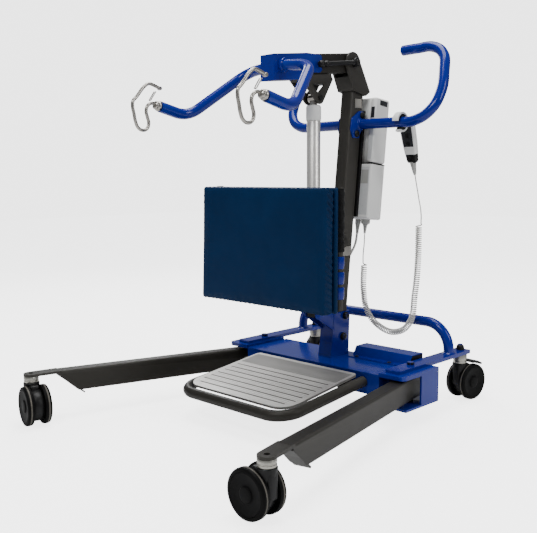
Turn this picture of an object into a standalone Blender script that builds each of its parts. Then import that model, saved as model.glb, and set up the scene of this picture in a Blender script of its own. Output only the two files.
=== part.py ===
"""Sit-to-stand patient lift: wheeled base, leaning mast, powered boom, knee pad, footplate and hand control.

Metres, +Z up, the front of the lift faces -Y. The origin is on the floor under the middle of the lift.
"""
import math

import bmesh
import bpy
from mathutils import Matrix, Vector

NAME = "sit_to_stand_lift"
GAP = 0.0003
SHARP = math.radians(35.0)

# Base
CROSS_HALF = 0.2347
CROSS_FRONT = 0.110
CROSS_REAR = 0.274
CROSS_TOP = 0.125
CROSS_BOTTOM = 0.070
SHEET = 0.006
PIVOT = Vector((0.2617, 0.207, 0.0))
RAIL_X = 0.2645
REAR_STEM_Y = 0.444
RAIL_TOP = 0.140
PLATE_FRONT_Y = 0.107
BOX_REAR_Y = 0.264
PIN_RADIUS = 0.008

# Legs
LEG_ANGLE = math.radians(13.0)
LEG_LENGTH = 0.7029
LEG_TILT = math.radians(1.15)
LEG_TOP = 0.1136
LEG_WIDTH = 0.038
LEG_HEIGHT = 0.058
CRANK_RADIUS = 0.090
CRANK_PIN = 0.004

# Casters
WHEEL_RADIUS = 0.050
WHEEL_INNER = 0.0135
WHEEL_OUTER = 0.031
TRAIL = 0.027
STEM_RADIUS = 0.006

# Mast
MAST_SLOPE = 0.1125
MAST_Y = 0.291
MAST_REF_Z = 0.827
MAST_WIDTH = 0.038
MAST_DEPTH = 0.0508
MAST_FOOT = 0.155
MAST_TOP = 0.852
SOCKET_HALF = 0.0225
SOCKET_TOP = 0.246

# Cover over the base
COVER_FRONT = 0.218
COVER_REAR = 0.304
COVER_TOP = 0.150
COVER_SCREW_Y = 0.2290

# Boom
BOOM_PIVOT = Vector((0.0, 0.262, 0.9225))
BOOM_DROP = math.radians(6.5)
BOOM_WIDTH = 0.038
BOOM_HEIGHT = 0.052
BOOM_REACH = 0.298
ARM_RADIUS = 0.0137
ARM_START = Vector((0.0320, -0.0110, 0.8905))
ARM_END = Vector((0.1824, -0.2335, 0.7905))
ARM_RUN = Vector((0.0, -0.967, 0.2545))
LOBE_RADIUS = 0.0085
HOOK_X = 0.1815
HOOK_WIRE = 0.0037
HOOK_GATE_TOP = (-0.2480, 0.8258)
GATE_WIRE = 0.0012

# Lift actuator
ROD_PIN = Vector((0.0, 0.130, 0.8214))
FOOT_PIN = Vector((0.0, 0.130, 0.2500))

# Handles and hand control
TUBE_RADIUS = 0.014
HANDSET_TOP = Vector((0.155, 0.3336, 0.7480))
HANDSET_AXIS = Vector((0.0, 0.2942, -0.9557)).normalized()
HANDSET_LENGTH = 0.0973
HANDSET_THICK = 0.018

# Cords
CORD_RADIUS = 0.0021

# Knee pad
PAD_HALF = 0.221
PAD_LEAN = 0.012
PAD_FRONT = -0.072
PAD_REAR = -0.042
PAD_BOTTOM = 0.291
PAD_TOP = 0.599
GUIDE_X = 0.207
GUIDE_Y = -0.015
GUIDE_RADIUS = 0.009

# Footplate
PLATE_HALF = 0.177
FRAME_HALF = 0.186
PLATE_REAR = Vector((0.0, 0.098, 0.1213))
PLATE_FRONT = Vector((0.0, -0.171, 0.0870))
PLATE_THICK = 0.006
GROOVES = 7
GROOVE_START = 0.0245
GROOVE_PITCH = 0.0244
GROOVE_WIDTH = 0.004

COLOURS = {
    "frame_bronze": ((0.047, 0.042, 0.033), 0.38, 0.55),
    "paint_blue": ((0.006, 0.024, 0.26), 0.22, 0.0),
    "plastic_grey": ((0.56, 0.56, 0.50), 0.42, 0.0),
    "plastic_white": ((0.72, 0.72, 0.70), 0.35, 0.0),
    "plastic_black": ((0.012, 0.012, 0.013), 0.45, 0.0),
    "pad_vinyl": ((0.004, 0.028, 0.080), 0.55, 0.0),
    "alu_brushed": ((0.42, 0.40, 0.37), 0.35, 0.9),
    "steel_bright": ((0.60, 0.59, 0.57), 0.18, 1.0),
    "rubber_grey": ((0.09, 0.08, 0.065), 0.75, 0.0),
    "webbing_black": ((0.010, 0.010, 0.011), 0.85, 0.0),
    "cord_grey": ((0.46, 0.45, 0.42), 0.5, 0.0),
}
MATERIALS = {}
COLLECTIONS = {}


def clear_scene():
    """Remove every object, so that a rerun starts from nothing."""
    for obj in list(bpy.data.objects):
        bpy.data.objects.remove(obj, do_unlink=True)


def collection(name):
    """Give back the named collection, linked to the scene."""
    if name not in COLLECTIONS:
        COLLECTIONS[name] = bpy.data.collections.new(name)
        bpy.context.scene.collection.children.link(COLLECTIONS[name])
    return COLLECTIONS[name]


def material(name):
    """Give back the named Principled material."""
    if name not in MATERIALS:
        colour, roughness, metallic = COLOURS[name]
        made = bpy.data.materials.new(name)
        made.use_nodes = True
        shader = made.node_tree.nodes["Principled BSDF"]
        shader.inputs["Base Color"].default_value = (*colour, 1.0)
        shader.inputs["Roughness"].default_value = roughness
        shader.inputs["Metallic"].default_value = metallic
        MATERIALS[name] = made
    return MATERIALS[name]


def new_object(name, data, group):
    """Make an object from a datablock and link it to a collection."""
    obj = bpy.data.objects.new(name, data)
    collection(group).objects.link(obj)
    return obj


def shade(data):
    """Shade a mesh smooth, apart from its sharp edges."""
    data.shade_smooth()
    data.set_sharp_from_angle(angle=SHARP)


def mesh_from(bm, name="piece"):
    """Turn a bmesh into a loose piece, kept with the cutters until it is used."""
    data = bpy.data.meshes.new(name)
    bmesh.ops.recalc_face_normals(bm, faces=bm.faces)
    bm.to_mesh(data)
    bm.free()
    shade(data)
    return new_object(name, data, "cutters")


def frame_matrix(start, end, up):
    """Matrix whose Z runs from start to end and whose Y lies towards up."""
    z_axis = (end - start).normalized()
    x_axis = up.cross(z_axis).normalized()
    y_axis = z_axis.cross(x_axis)
    turn = Matrix((x_axis, y_axis, z_axis)).transposed().to_4x4()
    return Matrix.Translation((start + end) / 2) @ turn


def bar(start, end, width, height, up=(0, 0, 1), corner=0.0, steps=2):
    """Rectangular bar between two points, with its long edges rounded."""
    start, end = Vector(start), Vector(end)
    length = (end - start).length
    bm = bmesh.new()
    bmesh.ops.create_cube(bm, size=1.0)
    bmesh.ops.scale(bm, vec=(width, height, length), verts=bm.verts)
    if corner:
        long_edges = [e for e in bm.edges if abs(e.verts[0].co.z - e.verts[1].co.z) > length / 2]
        bmesh.ops.bevel(bm, geom=long_edges, offset=corner, segments=steps, profile=0.5, affect="EDGES")
    bmesh.ops.transform(bm, matrix=frame_matrix(start, end, Vector(up)), verts=bm.verts)
    return mesh_from(bm)


def block(low, high, corner=0.0, steps=2):
    """Box between two corners, with every edge rounded when a corner radius is given."""
    low, high = Vector(low), Vector(high)
    bm = bmesh.new()
    bmesh.ops.create_cube(bm, size=1.0)
    bmesh.ops.scale(bm, vec=high - low, verts=bm.verts)
    if corner:
        bmesh.ops.bevel(bm, geom=bm.edges[:], offset=corner, segments=steps, profile=0.5, affect="EDGES")
    bmesh.ops.translate(bm, vec=(low + high) / 2, verts=bm.verts)
    return mesh_from(bm)


def rod(start, end, radius, tip=None, segments=12):
    """Cylinder or cone between two points."""
    start, end = Vector(start), Vector(end)
    bm = bmesh.new()
    bmesh.ops.create_cone(bm, cap_ends=True, segments=segments, radius1=radius,
                          radius2=radius if tip is None else tip, depth=(end - start).length)
    up = Vector((1, 0, 0)) if abs((end - start).normalized().x) < 0.9 else Vector((0, 0, 1))
    bmesh.ops.transform(bm, matrix=frame_matrix(start, end, up), verts=bm.verts)
    return mesh_from(bm)


def ball(centre, radius, scale=(1, 1, 1), segments=10):
    """Sphere or ellipsoid."""
    bm = bmesh.new()
    bmesh.ops.create_uvsphere(bm, u_segments=segments, v_segments=segments // 2, radius=radius)
    bmesh.ops.scale(bm, vec=scale, verts=bm.verts)
    bmesh.ops.translate(bm, vec=centre, verts=bm.verts)
    return mesh_from(bm)


def as_mesh(obj):
    """Replace a curve object by the mesh it evaluates to."""
    graph = bpy.context.evaluated_depsgraph_get()
    data = bpy.data.meshes.new_from_object(obj.evaluated_get(graph))
    bm = bmesh.new()
    bm.from_mesh(data)
    bmesh.ops.remove_doubles(bm, verts=bm.verts, dist=1e-6)
    bmesh.ops.recalc_face_normals(bm, faces=bm.faces)
    bm.to_mesh(data)
    bm.free()
    shade(data)
    made = new_object("piece", data, "cutters")
    made.matrix_world = obj.matrix_world.copy()
    bpy.data.objects.remove(obj, do_unlink=True)
    return made


def rounded(points, radii, steps=4):
    """Round each inner corner of a run of points with an arc, with one radius for each corner."""
    points = [Vector(p) for p in points]
    run = [points[0]]
    last_corner = len(points) - 2
    for index, radius in enumerate(radii, 1):
        before, corner, after = points[index - 1:index + 2]
        a = (before - corner).normalized()
        b = (after - corner).normalized()
        half = a.angle(b) / 2
        share_before = 0.95 if index == 1 else 0.48
        share_after = 0.95 if index == last_corner else 0.48
        reach = min(radius / math.tan(half), share_before * (before - corner).length,
                    share_after * (after - corner).length)
        true_radius = reach * math.tan(half)
        centre = corner + (a + b).normalized() * (true_radius / math.sin(half))
        first = (corner + a * reach - centre).normalized()
        last = (corner + b * reach - centre).normalized()
        for k in range(steps + 1):
            run.append(centre + first.slerp(last, k / steps) * true_radius)
    run.append(points[-1])
    return run


def wire_curve(points, radius, resolution=2):
    """Curve object with a round section and closed ends."""
    data = bpy.data.curves.new("run", "CURVE")
    data.dimensions = "3D"
    data.bevel_depth = radius
    data.bevel_resolution = resolution
    data.use_fill_caps = True
    spline = data.splines.new("POLY")
    spline.points.add(len(points) - 1)
    for slot, point in zip(spline.points, points):
        slot.co = (*point, 1.0)
    return new_object("run", data, "cutters")


def tube(points, radius, resolution=2):
    """Round tube along a run of points, as a mesh piece."""
    return as_mesh(wire_curve(points, radius, resolution))


def outline(points, thickness, matrix):
    """Flat plate from a closed outline, centred on the plane of the matrix."""
    data = bpy.data.curves.new("plate", "CURVE")
    data.dimensions = "2D"
    data.fill_mode = "BOTH"
    data.extrude = thickness / 2
    spline = data.splines.new("POLY")
    spline.points.add(len(points) - 1)
    for slot, (u, v) in zip(spline.points, points):
        slot.co = (u, v, 0.0, 1.0)
    spline.use_cyclic_u = True
    obj = new_object("plate", data, "cutters")
    obj.matrix_world = matrix
    return as_mesh(obj)


def side_plate(points, x_low, x_high):
    """Plate with its outline given in Y and Z, between two X positions."""
    matrix = Matrix(((0, 0, 1, (x_low + x_high) / 2), (1, 0, 0, 0), (0, 1, 0, 0), (0, 0, 0, 1)))
    return outline(points, x_high - x_low, matrix)


def floor_plate(points, z_low, z_high):
    """Plate with its outline given in X and Y, between two heights."""
    return outline(points, z_high - z_low, Matrix.Translation((0, 0, (z_low + z_high) / 2)))


def arc(centre, radius, start, end, steps=6):
    """Points of an arc in a plane, angles in degrees."""
    run = []
    for k in range(steps + 1):
        angle = math.radians(start + (end - start) * k / steps)
        run.append((centre[0] + radius * math.cos(angle), centre[1] + radius * math.sin(angle)))
    return run


def joined(pieces):
    """Put pieces that don't touch each other into one mesh."""
    bm = bmesh.new()
    for piece in pieces:
        data = piece.data.copy()
        data.transform(piece.matrix_world)
        bm.from_mesh(data)
        bpy.data.meshes.remove(data)
        bpy.data.objects.remove(piece, do_unlink=True)
    return mesh_from(bm)


def node(name, colour, base, add=(), cut=(), late=(), origin=(0, 0, 0)):
    """Finish one sub-part: unite, cut, unite what stays whole, name, colour and set its origin."""
    base.name = name
    base.data.name = name
    collection("cutters").objects.unlink(base)
    collection(NAME).objects.link(base)
    base.data.transform(base.matrix_world)
    base.data.transform(Matrix.Translation(-Vector(origin)))
    base.matrix_world = Matrix.Translation(Vector(origin))
    base.data.materials.clear()
    base.data.materials.append(material(colour))
    for tag, operation, helpers in (("add", "UNION", add), ("cut", "DIFFERENCE", cut), ("late", "UNION", late)):
        for index, helper in enumerate(helpers):
            helper.name = f"{tag}_{name}_{index}"
            helper.hide_render = True
            helper.display_type = "WIRE"
            boolean = base.modifiers.new(f"{tag}_{index}", "BOOLEAN")
            boolean.operation = operation
            boolean.solver = "EXACT"
            boolean.object = helper
    return base


def curve_node(name, colour, points, radius, origin=(0, 0, 0)):
    """Sub-part that stays a curve: a free run of tube or cord."""
    obj = wire_curve([Vector(p) - Vector(origin) for p in points], radius)
    obj.name = name
    obj.data.name = name
    obj.location = origin
    collection("cutters").objects.unlink(obj)
    collection(NAME).objects.link(obj)
    obj.data.materials.append(material(colour))
    return obj


def smooth_run(points, count):
    """Read a smooth curve through the points at even steps."""
    data = bpy.data.curves.new("guide", "CURVE")
    data.dimensions = "3D"
    data.resolution_u = 24
    spline = data.splines.new("BEZIER")
    spline.bezier_points.add(len(points) - 1)
    for knot, point in zip(spline.bezier_points, points):
        knot.co = point
        knot.handle_left_type = "AUTO"
        knot.handle_right_type = "AUTO"
    guide = new_object("guide", data, "cutters")
    graph = bpy.context.evaluated_depsgraph_get()
    fine = bpy.data.meshes.new_from_object(guide.evaluated_get(graph))
    dense = [v.co.copy() for v in fine.vertices]
    bpy.data.meshes.remove(fine)
    bpy.data.objects.remove(guide, do_unlink=True)
    lengths = [0.0]
    for a, b in zip(dense, dense[1:]):
        lengths.append(lengths[-1] + (b - a).length)
    run = []
    for k in range(count):
        wanted = lengths[-1] * k / (count - 1)
        index = max(i for i in range(len(lengths) - 1) if lengths[i] <= wanted)
        step = lengths[index + 1] - lengths[index]
        run.append(dense[index].lerp(dense[index + 1], (wanted - lengths[index]) / step))
    return run


def mast_at(z, depth=0.0):
    """Point on the mast's centre line at a height, moved back by a depth."""
    return Vector((0, MAST_Y + MAST_SLOPE * (z - MAST_REF_Z) + depth, z))


def mast_bar(z_low, z_high, width, depth, corner=0.0, shift=0.0):
    """Bar that leans with the mast."""
    return bar(mast_at(z_low, shift), mast_at(z_high, shift), width, depth, (0, 1, 0), corner)


def boom_at(distance, rise=0.0, x=0.0):
    """Point along the boom's centre line, forward of the pivot."""
    forward = Vector((0, -math.cos(BOOM_DROP), -math.sin(BOOM_DROP)))
    upward = Vector((0, -math.sin(BOOM_DROP), math.cos(BOOM_DROP)))
    return BOOM_PIVOT + forward * distance + upward * rise + Vector((x, 0, 0))


def leg_axes(side):
    """Unit vectors along an opened leg and across it."""
    along = Vector((side * math.sin(LEG_ANGLE), -math.cos(LEG_ANGLE), 0))
    return along, Vector((-along.y, along.x, 0))


def leg_point(side, distance, height, across=0.0):
    """Point on a leg: distance from the pivot, height over the floor."""
    along, sideways = leg_axes(side)
    point = Vector((side * PIVOT.x, PIVOT.y, 0)) + along * distance + sideways * across
    point.z = height
    return point


def top_of_leg(distance):
    """Height of the leg's top face."""
    return LEG_TOP + math.tan(LEG_TILT) * distance


def build_crossmember():
    """Folded channel across the base, open below."""
    low = (-CROSS_HALF, CROSS_FRONT, CROSS_BOTTOM)
    shell = block(low, (CROSS_HALF, CROSS_REAR, CROSS_TOP))
    hollow = block((-CROSS_HALF + SHEET, CROSS_FRONT + SHEET, CROSS_BOTTOM - SHEET),
                   (CROSS_HALF - SHEET, CROSS_REAR - SHEET, CROSS_TOP - SHEET))
    slots = joined([block((side * (CROSS_HALF + 0.01) - 0.02, 0.170, CROSS_BOTTOM - SHEET),
                          (side * (CROSS_HALF + 0.01) + 0.02, 0.258, CROSS_TOP - SHEET)) for side in (-1, 1)])
    node("base_crossmember", "paint_blue", shell, cut=[hollow, slots])


def build_side_rail(side):
    """Rear side bar with the fork that holds the leg's pivot."""
    label = "right" if side > 0 else "left"
    inner, outer = 0.235, 0.310
    corner = 0.014
    rim = arc((outer - corner, PLATE_FRONT_Y + corner), corner, -90, 0)
    shape = [(side * x, y) for x, y in [(inner, PLATE_FRONT_Y), *rim, (outer, BOX_REAR_Y), (inner, BOX_REAR_Y)]]
    top = floor_plate(shape, 0.122, 0.132)
    x_in, x_out = sorted((side * inner, side * outer))
    bottom = block((x_in, 0.119, 0.042), (x_out, BOX_REAR_Y, 0.048))
    wall_x = sorted((side * 0.305, side * outer))
    wall = block((wall_x[0], 0.186, 0.044), (wall_x[1], BOX_REAR_Y, 0.128))
    rail = block((side * RAIL_X - 0.021, 0.124, 0.130), (side * RAIL_X + 0.021, 0.462, RAIL_TOP))
    roof = RAIL_TOP - 0.0006
    pin = rod((side * PIVOT.x, PIVOT.y, 0.03), (side * PIVOT.x, PIVOT.y, roof), PIN_RADIUS + GAP)
    stem = rod((side * RAIL_X, REAR_STEM_Y, 0.12), (side * RAIL_X, REAR_STEM_Y, roof), STEM_RADIUS + GAP)
    bolt = rod((side * PIVOT.x, PIVOT.y, roof + GAP), (side * PIVOT.x, PIVOT.y, RAIL_TOP + 0.007), 0.009, segments=6)
    nut = rod((side * RAIL_X, REAR_STEM_Y, roof + GAP), (side * RAIL_X, REAR_STEM_Y, RAIL_TOP + 0.016), 0.010, 0.006)
    node(f"side_rail_{label}", "paint_blue", top, add=[wall, bottom, rail, bolt, nut], cut=[joined([pin, stem])])


def build_leg(side):
    """Swinging leg with its flange, closing lip, pivot pin and crank."""
    label = "right" if side > 0 else "left"
    centre = LEG_HEIGHT / 2
    base = bar(leg_point(side, -0.026, top_of_leg(-0.026) - centre),
               leg_point(side, 0.640, top_of_leg(0.640) - centre), LEG_WIDTH, LEG_HEIGHT, (0, 0, 1), 0.005, 2)
    flange_low, flange_high = 0.120, 0.1262
    plate = bar(leg_point(side, 0.632, (flange_low + flange_high) / 2),
                leg_point(side, LEG_LENGTH, (flange_low + flange_high) / 2), LEG_WIDTH,
                flange_high - flange_low, (0, 0, 1))
    nose = rod(leg_point(side, LEG_LENGTH, flange_low), leg_point(side, LEG_LENGTH, flange_high), LEG_WIDTH / 2,
               segments=16)
    slant = bar(leg_point(side, 0.6663, 0.0873), leg_point(side, 0.5740, 0.0042), 0.08, 0.08, (0, 0, 1))
    lip = bar(leg_point(side, 0.6382, 0.1165), leg_point(side, 0.5700, 0.0603), LEG_WIDTH - 0.0008, 0.004, (0, 0, 1))
    pin_top = RAIL_TOP - 0.001
    pin = rod((side * PIVOT.x, PIVOT.y, 0.043), (side * PIVOT.x, PIVOT.y, pin_top), PIN_RADIUS)
    tip = side * (PIVOT.x - CRANK_RADIUS)
    crank = block((min(tip, side * PIVOT.x) - 0.006 * (side > 0), PIVOT.y - 0.009, 0.083),
                  (max(tip, side * PIVOT.x) + 0.006 * (side < 0), PIVOT.y + 0.009, 0.089))
    crank_pin = rod((tip, PIVOT.y, 0.086), (tip, PIVOT.y, 0.102), CRANK_PIN, segments=12)
    stem = rod(leg_point(side, LEG_LENGTH, 0.11), leg_point(side, LEG_LENGTH, 0.1300), STEM_RADIUS + GAP)
    node(f"leg_{label}", "frame_bronze", base, add=[plate, nose, pin, crank, crank_pin], cut=[slant, stem],
         late=[lip], origin=(side * PIVOT.x, PIVOT.y, 0))


def build_spread_drive():
    """Bar that turns both cranks, and the actuator that pushes it."""
    tip = PIVOT.x - CRANK_RADIUS
    y = PIVOT.y
    bar_low, bar_high = 0.0893, 0.0990
    beam = block((-tip - 0.014, y - 0.011, bar_low), (tip + 0.014, y + 0.011, bar_high))
    ram = rod((0, y - 0.005, 0.0942), (0, y - 0.055, 0.0942), 0.0045, segments=12)
    slots = []
    for side in (-1, 1):
        x = side * (tip + 0.001)
        slots.append(block((x - 0.0085, y - CRANK_PIN - 0.0006, bar_low - 0.01),
                           (x + 0.0085, y + CRANK_PIN + 0.0006, bar_high + 0.01)))
    node("leg_spread_bar", "steel_bright", beam, add=[ram], cut=[joined(slots)])
    body = bar((0, CROSS_FRONT + SHEET + GAP, 0.0942), (0, y - 0.018, 0.0942), 0.040, 0.036, (0, 0, 1), 0.006)
    bore = rod((0, y - 0.065, 0.0942), (0, y - 0.010, 0.0942), 0.0055, segments=12)
    node("leg_actuator", "plastic_black", body, cut=[bore])


def caster_parts(label, stem_x, stem_y, angle, neck_top, stem_top, brake_side):
    """Swivel caster: body with core and stem, two wheels and a brake pedal on the rear ones."""
    turn = Matrix.Translation((stem_x, stem_y, 0)) @ Matrix.Rotation(math.radians(angle), 4, "Z")

    def at(u, v, z):
        return turn @ Vector((u, v, z))

    core_half = WHEEL_INNER - 0.0007
    column = rod(at(0, 0, 0.050), at(0, 0, 0.104), 0.018, segments=14)
    clear_a = rod(at(TRAIL, WHEEL_INNER - 0.0006, WHEEL_RADIUS), at(TRAIL, 0.04, WHEEL_RADIUS),
                  WHEEL_RADIUS + 0.0015, segments=18)
    clear_b = rod(at(TRAIL, -0.04, WHEEL_RADIUS), at(TRAIL, -WHEEL_INNER + 0.0006, WHEEL_RADIUS),
                  WHEEL_RADIUS + 0.0015, segments=18)
    core = rod(at(TRAIL, -core_half, WHEEL_RADIUS), at(TRAIL, core_half, WHEEL_RADIUS), 0.040, segments=16)
    neck = rod(at(0, 0, 0.1035), at(0, 0, neck_top), 0.0185, segments=14)
    stem = rod(at(0, 0, neck_top - 0.002), at(0, 0, stem_top), STEM_RADIUS)
    node(f"caster_{label}", "plastic_black", column, add=[core, neck, stem], cut=[clear_a, clear_b],
         origin=at(0, 0, 0))
    for tag, side in (("a", -1), ("b", 1)):
        wheel(f"wheel_{label}_{tag}", at(TRAIL, 0, WHEEL_RADIUS), math.radians(angle), side)
    if brake_side:
        low_v, high_v = sorted((-brake_side * 0.010, brake_side * 0.030))
        pedal = bar(at(0.0195, (low_v + high_v) / 2, 0.1060), at(0.070, (low_v + high_v) / 2, 0.1060),
                    high_v - low_v, 0.0045, (0, 0, 1), 0.0015, 2)
        node(f"brake_{label}", "plastic_black", pedal, origin=at(0.0215, 0, 0.1060))


def wheel(name, centre, angle, side):
    """Turned wheel on one side of the caster's core, spinning on its axle."""
    half = (WHEEL_OUTER - WHEEL_INNER) / 2
    profile = [(0.0, half - 0.003), (0.030, half - 0.003), (0.034, half), (0.045, half), (WHEEL_RADIUS, half - 0.005),
               (WHEEL_RADIUS, -half), (0.0, -half)]
    bm = bmesh.new()
    verts = [bm.verts.new((x, 0, z)) for x, z in profile]
    for a, b in zip(verts, verts[1:]):
        bm.edges.new((a, b))
    data = bpy.data.meshes.new(name)
    bm.to_mesh(data)
    bm.free()
    obj = new_object(name, data, NAME)
    data.materials.append(material("rubber_grey"))
    screw = obj.modifiers.new("turn", "SCREW")
    screw.steps = 18
    screw.render_steps = 18
    screw.use_merge_vertices = True
    screw.merge_threshold = 0.00005
    shade(data)
    heading = Matrix.Translation(centre) @ Matrix.Rotation(angle, 4, "Z")
    beside = Matrix.Translation((0, side * (WHEEL_INNER + WHEEL_OUTER) / 2, 0))
    lean = Matrix.Rotation(math.radians(-90.0 * side), 4, "X")
    obj.matrix_world = heading @ beside @ lean
    return obj


def build_mast():
    """Leaning mast, its socket on the base, the folded head bracket and two clips."""
    mast = mast_bar(MAST_FOOT, MAST_TOP, MAST_WIDTH, MAST_DEPTH, 0.004)
    node("mast", "frame_bronze", mast)
    socket = side_plate([(0.176, CROSS_TOP + GAP), (0.2545, CROSS_TOP + GAP), (0.2595, SOCKET_TOP),
                         (0.190, SOCKET_TOP), (0.184, 0.165)], -SOCKET_HALF, SOCKET_HALF)
    lug_shape = [(0.200, 0.232), (0.200, 0.190), (0.130, 0.236), *arc((FOOT_PIN.y, FOOT_PIN.z), 0.014, 270, 90),
                 (0.200, 0.2455)]
    lugs = joined([side_plate(lug_shape, min(x), max(x))
                   for x in ((0.0165, 0.0218), (-0.0218, -0.0165))])
    pins = joined([rod((s * 0.0155, FOOT_PIN.y, FOOT_PIN.z), (s * 0.0210, FOOT_PIN.y, FOOT_PIN.z), 0.005)
                   for s in (-1, 1)])
    well = mast_bar(MAST_FOOT - GAP, 0.30, MAST_WIDTH + 2 * GAP, MAST_DEPTH + 2 * GAP)
    eye = block((0.008, 0.17, 0.203), (0.016, 0.1945, 0.219))
    knobs = joined([rod((SOCKET_HALF - 0.001, y, z), (SOCKET_HALF + 0.010, y, z), 0.0100, 0.0070, segments=14)
                    for y, z in ((0.2375, 0.2340), (0.2280, 0.1770))])
    node("mast_socket", "paint_blue", socket, add=[lugs, pins], cut=[well, eye], late=[knobs])
    head = side_plate([(0.2635, 0.849), (0.3174, 0.8376), (0.3364, 0.849), (0.2890, 0.930),
                       *arc((0.262, 0.9225), 0.0285, 16, 150, 8), (0.2330, 0.925), (0.2325, 0.912)], -0.028, 0.028)
    seat = mast_bar(0.80, MAST_TOP + GAP, MAST_WIDTH + 2 * GAP, MAST_DEPTH + 2 * GAP)
    round_slot = rod((-0.0225, 0.262, 0.9225), (0.0225, 0.262, 0.9225), 0.0268, segments=16)
    front_slot = block((-0.0225, 0.150, 0.885), (0.0225, 0.2625, 0.97))
    open_top = block((-0.0225, 0.2600, 0.9225), (0.0225, 0.3000, 0.97))
    pin_hole = rod((-0.05, 0.262, 0.9225), (0.05, 0.262, 0.9225), 0.0063)
    node("mast_head", "frame_bronze", head, cut=[seat, round_slot, front_slot, open_top, pin_hole])
    node("clip_upper", "steel_bright", block((0.0193, 0.278, 0.8036), (0.0215, 0.307, 0.829), 0.0006, 1))
    node("clip_lower", "steel_bright", block((0.0193, 0.230, 0.400), (0.0215, 0.2665, 0.4255), 0.0006, 1))


def build_boom():
    """Boom with its pivot bolt, the spreader sleeve, the tie rod and the actuator bracket."""
    beam = bar(boom_at(0.0), boom_at(BOOM_REACH), BOOM_WIDTH, BOOM_HEIGHT, (0, 0, 1), 0.004)
    end = rod((-0.019, 0.262, 0.9225), (0.019, 0.262, 0.9225), BOOM_HEIGHT / 2, segments=16)
    bolt = rod((-0.034, 0.262, 0.9225), (0.046, 0.262, 0.9225), 0.006)
    washers = joined([rod((0.0192, 0.262, 0.9225), (0.0222, 0.262, 0.9225), 0.011),
                      rod((-0.0222, 0.262, 0.9225), (-0.0192, 0.262, 0.9225), 0.011),
                      rod((-0.0355, 0.262, 0.9225), (-0.0285, 0.262, 0.9225), 0.010, segments=6)])
    node("boom_tube", "frame_bronze", beam, add=[end, bolt, washers], origin=BOOM_PIVOT)
    sleeve = side_plate([(-0.043, 0.852), (0.051, 0.8616), (0.056, 0.876), (0.062, 0.8795), (0.129, 0.8850),
                         (0.1363, 0.891), (0.1363, 0.924), (0.131, 0.930), (0.080, 0.9300), (-0.043, 0.9155)],
                        -0.023, 0.023)
    channel = bar(boom_at(BOOM_REACH + GAP), boom_at(0.10), BOOM_WIDTH + 2 * GAP, BOOM_HEIGHT + 2 * GAP)
    open_top = bar(boom_at(0.185), boom_at(0.10), BOOM_WIDTH + 2 * GAP, 0.09)
    bosses = joined([rod((s * 0.0195, ARM_START.y, ARM_START.z), (s * (ARM_START.x - 0.002), ARM_START.y, ARM_START.z),
                         0.0175) for s in (-1, 1)])
    node("spreader_sleeve", "paint_blue", sleeve, add=[bosses], cut=[channel, open_top], origin=BOOM_PIVOT)
    rod_x = 0.036
    bar_run = rod((rod_x, 0.140, 0.907), (rod_x, 0.262, 0.9225), 0.006)
    knob = rod((rod_x, 0.112, 0.9005), (rod_x, 0.128, 0.9025), 0.009)
    neck = rod((rod_x, 0.126, 0.9022), (rod_x, 0.141, 0.9070), 0.005)
    joint_ball = ball((rod_x, 0.140, 0.907), 0.0085)
    eye = rod((0.0297, 0.262, 0.9225), (0.0423, 0.262, 0.9225), 0.0125)
    hole = rod((0.02, 0.262, 0.9225), (0.05, 0.262, 0.9225), 0.0063)
    node("tie_rod", "plastic_black", bar_run, add=[joint_ball, neck, knob, eye], cut=[hole], origin=BOOM_PIVOT)
    cheek = [(0.1821, 0.8718), (0.1740, 0.8855), (0.0660, 0.8737), (0.0560, 0.8665),
             *arc((ROD_PIN.y, ROD_PIN.z), 0.0165, 225, 330, 6)]
    bracket = side_plate(cheek, -0.022, 0.022)
    inside = bar((0, 0.0, ROD_PIN.z), (0, 0.30, ROD_PIN.z), 0.035, 0.072)
    window = side_plate([(0.1000, 0.8540), (0.1440, 0.8570), (0.1455, 0.8535), (0.1250, 0.8350), (0.1190, 0.8362)],
                        -0.03, 0.03)
    stubs = joined([rod((s * 0.0120, ROD_PIN.y, ROD_PIN.z), (s * 0.0215, ROD_PIN.y, ROD_PIN.z), 0.005, segments=12)
                    for s in (-1, 1)])
    node("actuator_bracket", "frame_bronze", bracket, cut=[inside, window], late=[stubs], origin=BOOM_PIVOT)


def build_arm(side):
    """Bent lifting arm on one side of the spreader."""
    label = "right" if side > 0 else "left"
    points = [ARM_START, (0.1086, -0.0041, 0.8845), (0.181, -0.1478, 0.7702), ARM_END]
    mirrored = [(side * x, y, z) for x, y, z in points]
    curve_node(f"arm_{label}", "paint_blue", rounded(mirrored, (0.052, 0.070), 6), ARM_RADIUS, BOOM_PIVOT)


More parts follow.
